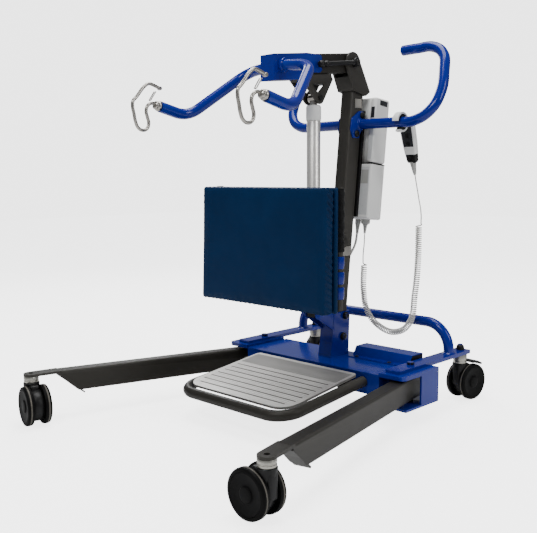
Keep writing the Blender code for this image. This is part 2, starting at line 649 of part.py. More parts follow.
def build_hook(side):
    """Wire sling hook on its ferrule, with a sprung wire gate."""
    label = "right" if side > 0 else "left"
    x = side * HOOK_X
    knots = [(-0.2480, 0.7960), (-0.2600, 0.7972), (-0.2722, 0.7898), (-0.2762, 0.7770), (-0.2724, 0.7620),
             (-0.2692, 0.7490), (-0.2742, 0.7365), (-0.2871, 0.7315), (-0.3008, 0.7372), (-0.3076, 0.7498),
             (-0.3119, 0.7682), (-0.3158, 0.7880), (-0.3146, 0.7985), (-0.3038, 0.8095), (-0.2790, 0.8365),
             (-0.2670, 0.8432), (-0.2522, 0.8408), (-0.2340, 0.8345)]
    wire = tube(smooth_run([Vector((x, y, z)) for y, z in knots], 30), HOOK_WIRE)
    arm_end = Vector((side * ARM_END.x, ARM_END.y, ARM_END.z))
    centre = arm_end + ARM_RUN * (LOBE_RADIUS + GAP)
    ferrule = ball(centre, LOBE_RADIUS)
    node(f"hook_{label}", "steel_bright", ferrule, add=[wire], origin=arm_end)
    gate_run = [Vector((x, *HOOK_GATE_TOP)), Vector((x, -0.2640, 0.8042))]
    spread = Vector((0.0022, 0, 0))
    gate = joined([tube([p + spread * s for p in gate_run], GATE_WIRE) for s in (-1, 1)])
    tie = tube([gate_run[1] - spread, gate_run[1] + spread], GATE_WIRE)
    node(f"gate_{label}", "steel_bright", gate, add=[tie], origin=gate_run[0])


def build_actuator():
    """Upright lift actuator: motor and tube, collar cap and sliding rod."""
    x, y = FOOT_PIN.x, FOOT_PIN.y
    housing = bar((0, y - 0.006, 0.272), (0, y - 0.006, 0.372), 0.036, 0.060, (0, 1, 0), 0.008)
    shaft = rod((x, y, 0.3), (x, y, 0.7627), 0.018, segments=18)
    motor = bar((0, y - 0.052, 0.278), (0, y - 0.052, 0.382), 0.044, 0.044, (0, 1, 0), 0.014)
    fork = bar((0, y, 0.240), (0, y, 0.280), 0.030, 0.022, (0, 1, 0))
    fork_end = rod((-0.015, y, 0.250), (0.015, y, 0.250), 0.011)
    bore = rod((x, y, 0.380), (x, y, 0.80), 0.0103)
    pin_hole = rod((-0.03, y, 0.250), (0.03, y, 0.250), 0.0055, segments=12)
    node("actuator_body", "alu_brushed", shaft, add=[housing, motor, fork, fork_end], cut=[bore, pin_hole],
         origin=FOOT_PIN)
    cap = rod((x, y, 0.763), (x, y, 0.792), 0.020, segments=18)
    shoulder = rod((x, y, 0.7919), (x, y, 0.8035), 0.020, 0.0135, segments=18)
    cap_bore = rod((x, y, 0.75), (x, y, 0.82), 0.0103)
    node("actuator_cap", "plastic_grey", cap, add=[shoulder], cut=[cap_bore], origin=FOOT_PIN)
    ram = rod((x, y, 0.385), (x, y, 0.818), 0.010)
    eye = rod((-0.0115, y, ROD_PIN.z), (0.0115, y, ROD_PIN.z), 0.0125)
    node("actuator_rod", "steel_bright", ram, add=[eye], origin=ROD_PIN)


def build_handle(side):
    """Bent push handle with the plate that bolts it to the mast."""
    label = "right" if side > 0 else "left"
    points = [(0.0225, 0.301, 0.760), (0.080, 0.301, 0.760), (0.140, 0.301, 0.760), (0.200, 0.3015, 0.7625),
              (0.240, 0.313, 0.788), (0.254, 0.336, 0.832), (0.246, 0.364, 0.889), (0.226, 0.389, 0.938),
              (0.187, 0.400, 0.961), (0.140, 0.400, 0.962), (0.092, 0.400, 0.961)]
    pipe = tube(smooth_run([(side * px, py, pz) for px, py, pz in points], 26), TUBE_RADIUS)
    low, high = sorted((side * 0.0193, side * 0.0233))
    plate = side_plate([(0.2575, 0.745), (0.268, 0.722), (0.294, 0.722), (0.3190, 0.775), (0.3160, 0.796),
                        (0.2950, 0.796), (0.2620, 0.775)], low, high)
    nuts = joined([rod((side * 0.0225, y, z), (side * 0.0310, y, z), 0.0085, 0.0045)
                   for y, z in ((0.3070, 0.7845), (0.2820, 0.7338))])
    node(f"handle_{label}", "paint_blue", pipe, add=[plate, nuts])


def build_control():
    """Control box, battery pack, and the handset with its two buttons."""
    front, rear = 0.0349, 0.0985
    width = 0.116
    box = mast_bar(0.505, 0.660, width, rear - front, 0.006, (front + rear) / 2)
    spine = mast_bar(0.652, 0.790, 0.080, 0.0060, 0.0, front + 0.0030)
    hanger_front = MAST_DEPTH / 2 + GAP
    hanger = mast_bar(0.56, 0.76, 0.030, front + 0.001 - hanger_front, 0.0, (front + 0.001 + hanger_front) / 2)
    node("control_box", "plastic_grey", box, add=[spine, hanger])
    battery = mast_bar(0.6603, 0.838, width, rear - front, 0.006, (front + rear) / 2)
    groove_depth = 0.0100
    groove = mast_bar(0.64, 0.86, 0.0812, groove_depth + 0.01, 0.0, front - 0.01 + (groove_depth + 0.01) / 2)
    node("battery_pack", "plastic_grey", battery, cut=[groove])


def build_handset():
    """Hand control hanging from the right handle by its C hook."""
    x = HANDSET_TOP.x
    top = HANDSET_TOP
    axis = HANDSET_AXIS
    end = top + axis * HANDSET_LENGTH
    tip = end + axis * 0.035
    face = Vector((0, axis.z, -axis.y))
    shell = bar(top - axis * 0.012, end, 0.042, HANDSET_THICK, -face, 0.006, 3)
    ring = rod((x - 0.006, 0.301, 0.760), (x + 0.006, 0.301, 0.760), 0.0265, segments=18)
    nose = rod(end - axis * 0.002, tip, 0.0088, 0.005)
    bore = rod((x - 0.03, 0.301, 0.760), (x + 0.03, 0.301, 0.760), TUBE_RADIUS + 0.0008, segments=16)
    mouth = bar((x, 0.301, 0.760), (x, 0.262, 0.738), 0.05, 0.023, (0, 0, 1))
    wells = []
    centres = []
    for step in (0.022, 0.044):
        spot = top + axis * step + face * HANDSET_THICK / 2
        centres.append(spot)
        wells.append(rod(spot - face * 0.005, spot + face * 0.004, 0.0083, segments=14))
    node("handset_shell", "plastic_white", shell, add=[ring, nose], cut=[bore, mouth, joined(wells)])
    for name, spot in zip(("button_up", "button_down"), centres):
        button = rod(spot - face * 0.0035, spot + face * 0.0020, 0.0080, segments=14)
        node(name, "plastic_black", button, origin=spot)
    return tip, axis


def build_cords(nose, axis):
    """Curly hand-control cord with its straight leads and plug, and the actuator's cable."""
    cord_y = 0.344
    coil = [(0.1887, 0.4930), (0.1887, 0.4600), (0.1881, 0.3892), (0.1794, 0.2924), (0.1640, 0.2160),
            (0.1210, 0.1850), (0.0638, 0.1930), (0.0200, 0.2311), (0.0065, 0.2800), (0.0060, 0.3729)]
    coil_run = smooth_run([(x, cord_y, z) for x, z in coil], 34)
    start, stop = coil_run[0], coil_run[-1]
    lead = smooth_run([nose + axis * 2 * GAP, nose + axis * 0.016, (0.168, 0.3690, 0.560),
                       start + Vector((0, 0, 0.016)), start + Vector((0, 0, 2 * GAP))], 20)
    curve_node("cord_lead_upper", "cord_grey", lead, CORD_RADIUS)
    curve_node("cord_coil", "cord_grey", coil_run, 0.009)
    plug_foot = Vector((0.0163, 0.3320, 0.4560))
    lower = smooth_run([stop + Vector((0, 0, 2 * GAP)), stop + Vector((0, 0, 0.020)),
                        plug_foot - Vector((0, 0.001, 0.03)), plug_foot - Vector((0, 0, 2 * GAP))], 14)
    curve_node("cord_lead_lower", "cord_grey", lower, CORD_RADIUS)
    plug = rod(plug_foot, plug_foot + Vector((0, 0.0040, 0.0360)), 0.0060, 0.0090, segments=16)
    cap = rod(plug_foot + Vector((0, 0.0038, 0.0340)), plug_foot + Vector((0, 0.0045, 0.0445)), 0.0095, segments=16)
    node("handset_plug", "plastic_black", plug, add=[cap])
    stub = Vector((-0.0085, 0.3320, 0.4560))
    run = smooth_run([stub + Vector((0, 0, 0.002)), stub - Vector((0.004, 0.003, 0.03)), (-0.0275, 0.312, 0.380),
                      (-0.0320, 0.288, 0.290), (-0.0285, 0.280, 0.215), (-0.0272, 0.2720, 0.175),
                      (-0.0266, 0.2560, 0.168)], 30)
    cable = tube(run, 0.0035)
    cable_plug = rod(stub, stub + Vector((0, 0.0044, 0.0440)), 0.0075, 0.0095, segments=16)
    node("actuator_cable", "cord_grey", cable, add=[cable_plug])


def build_knee_pad():
    """Knee pad on a backboard, collars and strap sleeves that slide on the support frame's guides."""
    pad = side_plate([(PAD_FRONT - PAD_LEAN, PAD_BOTTOM), (PAD_REAR, PAD_BOTTOM), (PAD_REAR, PAD_TOP),
                      (PAD_FRONT, PAD_TOP)], -PAD_HALF, PAD_HALF)
    node("knee_pad", "pad_vinyl", pad)
    board = block((-0.205, PAD_REAR + GAP, 0.330), (0.205, -0.036, 0.570))
    sleeves, bores, webs = [], [], []
    for side in (-1, 1):
        x = side * GUIDE_X
        sleeves.append(rod((x, GUIDE_Y, 0.4420), (x, GUIDE_Y, 0.5900), 0.0125, segments=14))
        bores.append(rod((x, GUIDE_Y, 0.30), (x, GUIDE_Y, 0.62), GUIDE_RADIUS + GAP, segments=14))
        webs.append(block((x - side * 0.004 - 0.004, -0.038, 0.450), (x - side * 0.004 + 0.004, -0.022, 0.560)))
        rings = joined([rod((x, GUIDE_Y, low), (x, GUIDE_Y, low + 0.033), 0.0120, segments=14)
                        for low in (0.400, 0.3635, 0.327)])
        liner = rod((x, GUIDE_Y, 0.3275), (x, GUIDE_Y, 0.4325), 0.0105, segments=14)
        bore = rod((x, GUIDE_Y, 0.30), (x, GUIDE_Y, 0.62), GUIDE_RADIUS + GAP, segments=14)
        label = "right" if side > 0 else "left"
        node(f"pad_collar_{label}", "paint_blue", liner, add=[rings], cut=[bore])
    node("pad_backboard", "webbing_black", board, add=[joined(webs), joined(sleeves)], cut=[joined(bores)])
    guides = joined([rod((s * GUIDE_X, GUIDE_Y, 0.302), (s * GUIDE_X, GUIDE_Y, 0.594), GUIDE_RADIUS, segments=14)
                     for s in (-1, 1)])
    cross = rod((-GUIDE_X, GUIDE_Y, 0.3130), (GUIDE_X, GUIDE_Y, 0.3130), 0.0088, segments=16)
    arms = joined([bar((s * 0.0335, GUIDE_Y, 0.3130), (s * 0.0335, 0.226, 0.4450), 0.010, 0.024, (0, 0, 1))
                   for s in (-1, 1)])
    tabs = joined([block((min(s * 0.0193, s * 0.0300), 0.214, 0.4300), (max(s * 0.0193, s * 0.0300), 0.236, 0.4600))
                   for s in (-1, 1)])
    node("pad_frame", "frame_bronze", guides, add=[cross, arms, tabs])


def build_footplate():
    """Grooved footplate on a bent tube frame, which hooks over the front of the base."""
    along = (PLATE_FRONT - PLATE_REAR)
    slope = Vector((0, 1, 0)).rotation_difference(-along.normalized())
    middle = (PLATE_FRONT + PLATE_REAR) / 2
    turn = Matrix.Translation(middle) @ slope.to_matrix().to_4x4() @ Matrix.Translation((0, 0, -PLATE_THICK / 2))
    half = along.length / 2
    corner = 0.045
    rear = 0.012
    points = [*arc((PLATE_HALF - corner, -half + corner), corner, -90, 0),
              *arc((PLATE_HALF - rear, half - rear), rear, 0, 90, 3),
              *arc((-PLATE_HALF + rear, half - rear), rear, 90, 180, 3),
              *arc((-PLATE_HALF + corner, -half + corner), corner, 180, 270)]
    plate = outline(points, PLATE_THICK, turn)
    cuts = []
    for k in range(GROOVES):
        y = -half + GROOVE_START + GROOVE_PITCH * k
        reach = PLATE_HALF - (0.026 if k == 0 else 0.014)
        groove = [(-reach, y), (reach, y), (reach, y + GROOVE_WIDTH), (-reach, y + GROOVE_WIDTH)]
        cuts.append(outline(groove, 0.003, turn @ Matrix.Translation((0, 0, PLATE_THICK / 2))))
    node("footplate_tread", "alu_brushed", plate, cut=[joined(cuts)])
    run = rounded([(FRAME_HALF, 0.1085, 0.1015), (FRAME_HALF, -0.187, 0.0700), (-FRAME_HALF, -0.187, 0.0700),
                   (-FRAME_HALF, 0.1085, 0.1015)], (0.058, 0.058), 6)
    frame = tube(run, 0.0135)
    struts = []
    for y in (-0.100, 0.060):
        z = PLATE_REAR.z + (y - PLATE_REAR.y) * along.z / along.y - PLATE_THICK - 0.0068
        struts.append(block((-0.183, y - 0.012, z - 0.006), (0.183, y + 0.012, z + 0.005)))
    hooks = [block((s * 0.15 - 0.012, 0.060, 0.088), (s * 0.15 + 0.012, CROSS_FRONT - GAP, 0.098)) for s in (-1, 1)]
    node("footplate_frame", "frame_bronze", frame, add=[joined(struts), joined(hooks)])


def build_cover_and_bar():
    """Folded cover over the base, and the rear push bar."""
    wall = 0.002
    deck = CROSS_TOP + GAP
    cover = side_plate([(COVER_FRONT, deck), (COVER_FRONT, deck + wall), (0.2400, deck + wall),
                        (0.2540, COVER_TOP), (COVER_REAR - wall, COVER_TOP), (COVER_REAR, COVER_TOP - wall),
                        (COVER_REAR, deck)], 0.050, 0.2345)
    hollow = side_plate([(0.2430, deck - 0.01), (0.2430, deck + wall), (0.2552, COVER_TOP - wall),
                         (COVER_REAR - wall, COVER_TOP - wall), (COVER_REAR - wall, deck - 0.01)], 0.052, 0.26)
    screws = joined([rod((x, COVER_SCREW_Y, deck + wall / 2), (x, COVER_SCREW_Y, deck + wall + 0.0035), 0.0048)
                     for x in (0.072, 0.180)])
    node("base_cover", "paint_blue", cover, add=[screws], cut=[hollow])
    foot = RAIL_TOP + GAP
    top = 0.2185
    run = rounded([(RAIL_X, 0.384, foot), (RAIL_X, 0.384, top), (-RAIL_X, 0.384, top), (-RAIL_X, 0.384, foot)],
                  (0.070, 0.070), 7)
    curve_node("rear_push_bar", "paint_blue", run, TUBE_RADIUS)


def build():
    """Build the whole lift."""
    clear_scene()
    build_crossmember()
    for side in (-1, 1):
        build_side_rail(side)
        build_leg(side)
        build_arm(side)
        build_hook(side)
        build_handle(side)
    build_spread_drive()
    stems = [leg_point(side, LEG_LENGTH, 0) for side in (-1, 1)]
    caster_parts("front_left", stems[0].x, stems[0].y, -13.0, 0.1197, 0.1255, 0)
    caster_parts("front_right", stems[1].x, stems[1].y, 180.0, 0.1197, 0.1255, 0)
    caster_parts("rear_left", -RAIL_X, REAR_STEM_Y, 100.0, 0.1297, 0.139, 1)
    caster_parts("rear_right", RAIL_X, REAR_STEM_Y, 82.0, 0.1297, 0.139, -1)
    build_mast()
    build_boom()
    build_actuator()
    build_control()
    nose, axis = build_handset()
    build_cords(nose, axis)
    build_knee_pad()
    build_footplate()
    build_cover_and_bar()


build()
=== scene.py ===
"""Looks of a sit-to-stand patient lift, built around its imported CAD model."""
import math

import bmesh
import bpy
from mathutils import Matrix, Vector, noise


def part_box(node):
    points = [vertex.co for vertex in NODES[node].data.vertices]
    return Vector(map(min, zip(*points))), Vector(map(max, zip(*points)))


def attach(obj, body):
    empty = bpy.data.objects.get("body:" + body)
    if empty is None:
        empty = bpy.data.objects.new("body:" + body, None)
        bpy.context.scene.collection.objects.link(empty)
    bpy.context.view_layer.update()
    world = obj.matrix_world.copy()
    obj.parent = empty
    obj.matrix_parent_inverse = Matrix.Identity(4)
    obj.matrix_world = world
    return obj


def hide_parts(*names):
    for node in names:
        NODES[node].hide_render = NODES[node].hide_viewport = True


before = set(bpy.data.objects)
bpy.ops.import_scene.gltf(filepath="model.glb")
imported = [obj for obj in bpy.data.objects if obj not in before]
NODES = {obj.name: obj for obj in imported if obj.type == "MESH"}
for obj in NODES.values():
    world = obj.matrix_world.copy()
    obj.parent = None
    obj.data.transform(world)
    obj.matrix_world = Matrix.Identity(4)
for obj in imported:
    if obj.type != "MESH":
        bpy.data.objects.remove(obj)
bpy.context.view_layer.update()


# ---- materials
def nodes_of(name):
    made = bpy.data.materials.new(name)
    made.use_nodes = True
    tree = made.node_tree
    return made, tree, tree.nodes["Principled BSDF"]


def add_node(tree, kind, **values):
    node = tree.nodes.new(kind)
    for key, value in values.items():
        if key in node.inputs:
            node.inputs[key].default_value = value
        else:
            setattr(node, key, value)
    return node


def tint(colour, factor):
    return tuple(min(1.0, c * factor) for c in colour) + (1.0,)


def ramp_of(tree, source, low, high):
    """Colour ramp on a socket, black below one value and white above another."""
    ramp = add_node(tree, "ShaderNodeValToRGB")
    ramp.color_ramp.elements[0].position = low
    ramp.color_ramp.elements[1].position = high
    tree.links.new(source, ramp.inputs["Fac"])
    return ramp


def toned(tree, source, colour, tone):
    """Ramp between a darker and a lighter tone of a colour."""
    ramp = ramp_of(tree, source, 0.3, 0.7)
    ramp.color_ramp.elements[0].color = tint(colour, 1 - tone)
    ramp.color_ramp.elements[1].color = tint(colour, 1 + tone)
    return ramp.outputs["Color"]


def blended(tree, where, amount, under, over):
    """Lay a colour over a socket's colour, by a mask times an amount."""
    scale = add_node(tree, "ShaderNodeMath", operation="MULTIPLY")
    scale.inputs[1].default_value = amount
    tree.links.new(where, scale.inputs[0])
    mix = add_node(tree, "ShaderNodeMix", data_type="RGBA")
    mix.inputs[7].default_value = over
    tree.links.new(scale.outputs[0], mix.inputs[0])
    tree.links.new(under, mix.inputs[6])
    return mix.outputs[2]


def surface(name, colour, rough, metal=0.0, coat=0.0, tone=0.12, tone_scale=7.0, grain_scale=900.0,
            grain=0.06, depth=0.0003, rough_var=0.08, stretch=(1, 1, 1), wear_and_highlight=0.0, wear_and_highlight_colour=None, dust=0.0,
            spec=0.5):
    """Finish with uneven tone, a fine surface grain, roughness patches, and convex edges lightened: partly
    wear, partly painted edge highlight.
    """
    made, tree, shader = nodes_of(name)
    shader.inputs["Metallic"].default_value = metal
    shader.inputs["Coat Weight"].default_value = coat
    shader.inputs["Coat Roughness"].default_value = 0.06
    shader.inputs["Specular IOR Level"].default_value = spec
    coords = add_node(tree, "ShaderNodeTexCoord")
    mapping = add_node(tree, "ShaderNodeMapping")
    mapping.inputs["Scale"].default_value = stretch
    tree.links.new(coords.outputs["Object"], mapping.inputs["Vector"])
    patches = add_node(tree, "ShaderNodeTexNoise", Scale=tone_scale, Detail=5.0, Roughness=0.6)
    tree.links.new(mapping.outputs["Vector"], patches.inputs["Vector"])
    out = toned(tree, patches.outputs["Fac"], colour, tone)
    # Convex edges picked out by Pointiness are lightened towards the edge colour: partly wear, partly a
    # painted edge highlight.
    if wear_and_highlight:
        edges = ramp_of(tree, add_node(tree, "ShaderNodeNewGeometry").outputs["Pointiness"], 0.52, 0.62)
        out = blended(tree, edges.outputs["Color"], wear_and_highlight, out, tint(wear_and_highlight_colour, 1.0))
    if dust:
        specks = add_node(tree, "ShaderNodeTexNoise", Scale=260.0, Detail=3.0)
        tree.links.new(coords.outputs["Object"], specks.inputs["Vector"])
        spots = ramp_of(tree, specks.outputs["Fac"], 0.64, 0.72)
        out = blended(tree, spots.outputs["Color"], dust, out, (0.5, 0.48, 0.44, 1))
    tree.links.new(out, shader.inputs["Base Color"])
    spread = add_node(tree, "ShaderNodeMapRange")
    spread.inputs["To Min"].default_value = max(0.02, rough - rough_var)
    spread.inputs["To Max"].default_value = min(1.0, rough + rough_var)
    tree.links.new(patches.outputs["Fac"], spread.inputs["Value"])
    tree.links.new(spread.outputs["Result"], shader.inputs["Roughness"])
    fine = add_node(tree, "ShaderNodeTexNoise", Scale=grain_scale, Detail=3.0)
    tree.links.new(mapping.outputs["Vector"], fine.inputs["Vector"])
    bump = add_node(tree, "ShaderNodeBump", Strength=grain, Distance=depth)
    tree.links.new(fine.outputs["Fac"], bump.inputs["Height"])
    tree.links.new(bump.outputs["Normal"], shader.inputs["Normal"])
    return made


def woven(name, colour, rough, pitch, strength, folds=0.0, fold_stretch=(1, 1, 1), sheen=0.2, tone=0.15):
    """Woven or coated cloth: two crossed thread waves over soft folds."""
    made, tree, shader = nodes_of(name)
    shader.inputs["Sheen Weight"].default_value = sheen
    shader.inputs["Roughness"].default_value = rough
    shader.inputs["Specular IOR Level"].default_value = 0.10
    coords = add_node(tree, "ShaderNodeTexCoord")
    waves = []
    for direction in ("X", "Z"):
        wave = add_node(tree, "ShaderNodeTexWave", wave_type="BANDS", bands_direction=direction, Scale=pitch,
                        Distortion=0.4)
        tree.links.new(coords.outputs["Object"], wave.inputs["Vector"])
        waves.append(wave)
    both = add_node(tree, "ShaderNodeMath", operation="MULTIPLY")
    tree.links.new(waves[0].outputs["Fac"], both.inputs[0])
    tree.links.new(waves[1].outputs["Fac"], both.inputs[1])
    mapping = add_node(tree, "ShaderNodeMapping")
    mapping.inputs["Scale"].default_value = fold_stretch
    tree.links.new(coords.outputs["Object"], mapping.inputs["Vector"])
    soft = add_node(tree, "ShaderNodeTexNoise", Scale=9.0, Detail=4.0, Distortion=0.6)
    tree.links.new(mapping.outputs["Vector"], soft.inputs["Vector"])
    tree.links.new(toned(tree, soft.outputs["Fac"], colour, tone), shader.inputs["Base Color"])
    big = add_node(tree, "ShaderNodeBump", Strength=folds, Distance=0.004)
    tree.links.new(soft.outputs["Fac"], big.inputs["Height"])
    small = add_node(tree, "ShaderNodeBump", Strength=strength, Distance=0.0004)
    tree.links.new(both.outputs[0], small.inputs["Height"])
    tree.links.new(big.outputs["Normal"], small.inputs["Normal"])
    tree.links.new(small.outputs["Normal"], shader.inputs["Normal"])
    return made


# The lighter blue laid on the convex edges here is a painted edge highlight.
BLUE = surface("blue_gloss_paint", (0.0, 0.0085, 0.20), 0.20, coat=0.25, tone=0.07, grain_scale=420,
               grain=0.025, rough_var=0.04, wear_and_highlight=0.2, wear_and_highlight_colour=(0.01, 0.06, 0.40), spec=0.2)
# The lighter bronze-grey laid on the convex edges here is a painted edge highlight, bright lines along the
# bars' edges.
BRONZE = surface("bronze_grey_metallic", (0.020, 0.0183, 0.0152), 0.42, metal=0.2, tone=0.08,
                 grain_scale=1500, grain=0.16, depth=0.0002, wear_and_highlight=0.35, wear_and_highlight_colour=(0.10, 0.095, 0.085),
                 spec=0.22)
# On the plastics below and on the tread, the lighter tone laid on convex edges is partly scuffed wear, partly
# a painted edge highlight.
WHITE_PLASTIC = surface("moulded_white_plastic", (0.78, 0.78, 0.76), 0.42, tone=0.04, grain_scale=1300,
                        grain=0.12, wear_and_highlight=0.1, wear_and_highlight_colour=(0.8, 0.8, 0.78), spec=0.35)
GREY_PLASTIC = surface("moulded_grey_plastic", (0.38, 0.38, 0.36), 0.45, tone=0.05, grain_scale=1300,
                       grain=0.14, wear_and_highlight=0.15, wear_and_highlight_colour=(0.6, 0.6, 0.58), spec=0.35)
BLACK_PLASTIC = surface("black_plastic", (0.003, 0.003, 0.0033), 0.38, tone=0.2, grain_scale=1400, grain=0.12,
                        wear_and_highlight=0.25, wear_and_highlight_colour=(0.03, 0.03, 0.03), dust=0.02, spec=0.25)
ALUMINIUM = surface("drawn_aluminium", (0.78, 0.76, 0.72), 0.34, metal=0.8, tone=0.06, tone_scale=40,
                    grain_scale=600, grain=0.12, stretch=(1, 1, 0.06))
TREAD = surface("brushed_tread", (0.36, 0.35, 0.335), 0.42, metal=0.6, tone=0.14, tone_scale=60,
                grain_scale=900, grain=0.35, stretch=(0.25, 1, 1), wear_and_highlight=0.3, wear_and_highlight_colour=(0.6, 0.6, 0.58))
STAINLESS = surface("polished_stainless", (0.40, 0.38, 0.35), 0.30, metal=1.0, tone=0.05, tone_scale=50,
                    grain_scale=700, grain=0.01, rough_var=0.05)
ZINC = surface("zinc_plate", (0.42, 0.41, 0.37), 0.32, metal=0.9, tone=0.12, tone_scale=80, grain_scale=900,
               grain=0.1)
RUBBER = surface("caster_rubber", (0.0016, 0.0016, 0.0016), 0.55, tone=0.25, tone_scale=30, grain_scale=1100,
                 grain=0.15, dust=0.01, spec=0.10)
TYRE_LINE = surface("tyre_tread", (0.085, 0.077, 0.064), 0.7, tone=0.3, tone_scale=50, grain_scale=900,
                    grain=0.4, dust=0.1)
CORD = surface("cord_jacket", (0.62, 0.61, 0.58), 0.42, tone=0.05, tone_scale=40, grain_scale=1500,
               grain=0.05, spec=0.3)
VINYL = woven("pad_vinyl", (0.0, 0.0165, 0.0600), 0.5, 520.0, 0.10, folds=0.10, sheen=0.0, tone=0.10)
WEBBING = woven("webbing", (0.005, 0.005, 0.0055), 0.8, 420.0, 0.5, folds=0.5, fold_stretch=(3, 3, 9),
                sheen=0.1)
LABEL = surface("blank_label", (0.60, 0.61, 0.61), 0.3, tone=0.04, tone_scale=120, grain_scale=800,
                grain=0.03)
DARK_PRINT = surface("blank_dark_panel", (0.020, 0.021, 0.025), 0.36, tone=0.12, tone_scale=90,
                     grain_scale=900, grain=0.06, spec=0.3)
BAND = surface("worn_tread_band", (0.15, 0.147, 0.14), 0.5, metal=0.4, tone=0.2, tone_scale=35,
               grain_scale=900, grain=0.4, stretch=(0.25, 1, 1))
SEAM = surface("shadow_seam", (0.008, 0.008, 0.008), 0.7, tone=0.2, tone_scale=80, grain_scale=900, grain=0.1,
               spec=0.1)


SIDES = ((-1, "left"), (1, "right"))


# ---- building helpers
def put(obj, name, mat, body, replaces=()):
    """Name a piece, give it its finish and its body, and hide the CAD nodes it replaces."""
    obj.name = name
    obj.data.name = name
    obj.data.materials.clear()
    obj.data.materials.append(mat)
    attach(obj, body)
    if replaces:
        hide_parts(*replaces)
    return obj


def mm(*points):
    """Points given in millimetres, as tuples in metres."""
    return [tuple(value / 1000 for value in point) for point in points]


def link(name, data):
    obj = bpy.data.objects.new(name, data)
    bpy.context.scene.collection.objects.link(obj)
    return obj


def from_bm(bm, smooth=35.0):
    data = bpy.data.meshes.new("mesh")
    bmesh.ops.recalc_face_normals(bm, faces=bm.faces)
    bm.to_mesh(data)
    bm.free()
    data.shade_smooth()
    data.set_sharp_from_angle(angle=math.radians(smooth))
    return link("mesh", data)


def along(start, end, up=Vector((0, 0, 1))):
    start, end = Vector(start), Vector(end)
    z_axis = (end - start).normalized()
    if abs(z_axis.dot(up)) > 0.98:
        up = Vector((0, 1, 0)) if abs(z_axis.y) < 0.9 else Vector((1, 0, 0))
    x_axis = Vector(up).cross(z_axis).normalized()
    y_axis = z_axis.cross(x_axis)
    return Matrix.Translation(start) @ Matrix((x_axis, y_axis, z_axis)).transposed().to_4x4()


def lathe_bm(profile, matrix, segments=40, bm=None):
    """Turned form: profile of (radius, height) pairs about the matrix's Z."""
    bm = bm or bmesh.new()
    angles = [2 * math.pi * k / segments for k in range(segments)]
    rings = []
    for radius, height in profile:
        if radius < 1e-6:
            ring = [Vector((0, 0, height))]
        else:
            ring = [Vector((radius * math.cos(a), radius * math.sin(a), height)) for a in angles]
        rings.append([bm.verts.new(matrix @ point) for point in ring])
    for low, high in zip(rings, rings[1:]):
        for k in range(segments):
            j = (k + 1) % segments
            quad = [low[k % len(low)], low[j % len(low)], high[j % len(high)], high[k % len(high)]]
            quad = list(dict.fromkeys(quad))
            if len(quad) > 2:
                bm.faces.new(quad)
    return bm


def skin_of(rings):
    """Closed form through rings of points, with a face over each end."""
    bm = bmesh.new()
    rings = [[bm.verts.new(point) for point in ring] for ring in rings]
    for low, high in zip(rings, rings[1:]):
        for k in range(len(low)):
            n = (k + 1) % len(low)
            bm.faces.new([low[k], low[n], high[n], high[k]])
    bm.faces.new(rings[0])
    bm.faces.new(rings[-1])
    return bm


def lathe(profile, start, end, segments=40, smooth=35.0):
    return from_bm(lathe_bm(profile, along(start, end), segments), smooth)


def box_bm(low, high, radius, matrix=None, bm=None, segments=3):
    """Box with rounded edges."""
    low, high = Vector(low), Vector(high)
    piece = bmesh.new()
    bmesh.ops.create_cube(piece, size=1.0)
    bmesh.ops.scale(piece, vec=high - low, verts=piece.verts)
    bmesh.ops.bevel(piece, geom=piece.edges[:], offset=radius, segments=segments, profile=0.5, affect="EDGES")
    bmesh.ops.translate(piece, vec=(low + high) / 2, verts=piece.verts)
    if matrix is not None:
        bmesh.ops.transform(piece, matrix=matrix, verts=piece.verts)
    if bm is None:
        return piece
    data = bpy.data.meshes.new("part")
    piece.to_mesh(data)
    piece.free()
    bm.from_mesh(data)
    bpy.data.meshes.remove(data)
    return bm


def rounded_box(low, high, radius, matrix=None, segments=3):
    return from_bm(box_bm(low, high, radius, matrix, None, segments), 40)


def rounded(points, radii, steps=14):
    """Run of points with each inner corner rounded to its own radius."""
    points = [Vector(p) for p in points]
    run = [points[0]]
    last_corner = len(points) - 2
    for index, radius in enumerate(radii, 1):
        before, corner, after = points[index - 1:index + 2]
        a = (before - corner).normalized()
        b = (after - corner).normalized()
        half = a.angle(b) / 2
        share_before = 0.95 if index == 1 else 0.48
        share_after = 0.95 if index == last_corner else 0.48
        reach = min(radius / math.tan(half), share_before * (before - corner).length,
                    share_after * (after - corner).length)
        true_radius = reach * math.tan(half)
        centre = corner + (a + b).normalized() * (true_radius / math.sin(half))
        first = (corner + a * reach - centre).normalized()
        last = (corner + b * reach - centre).normalized()
        for k in range(steps + 1):
            run.append(centre + first.slerp(last, k / steps) * true_radius)
    run.append(points[-1])
    return run


def bake(obj):
    """Turn the modifiers into plain mesh."""
    graph = bpy.context.evaluated_depsgraph_get()
    data = bpy.data.meshes.new_from_object(obj.evaluated_get(graph))
    obj.modifiers.clear()
    obj.data = data


def curve_object(points, radius, resolution=6):
    data = bpy.data.curves.new("run", "CURVE")
    data.dimensions = "3D"
    data.bevel_depth = radius
    data.bevel_resolution = resolution
    data.use_fill_caps = True
    points = [Vector(p) for p in points]
    points = points[:1] + [b for a, b in zip(points, points[1:]) if (b - a).length > 1e-5]
    spline = data.splines.new("POLY")
    spline.points.add(len(points) - 1)
    for knot, point in zip(spline.points, points):
        knot.co = (*point, 1.0)
    spline.use_smooth = True
    return link("run", data)


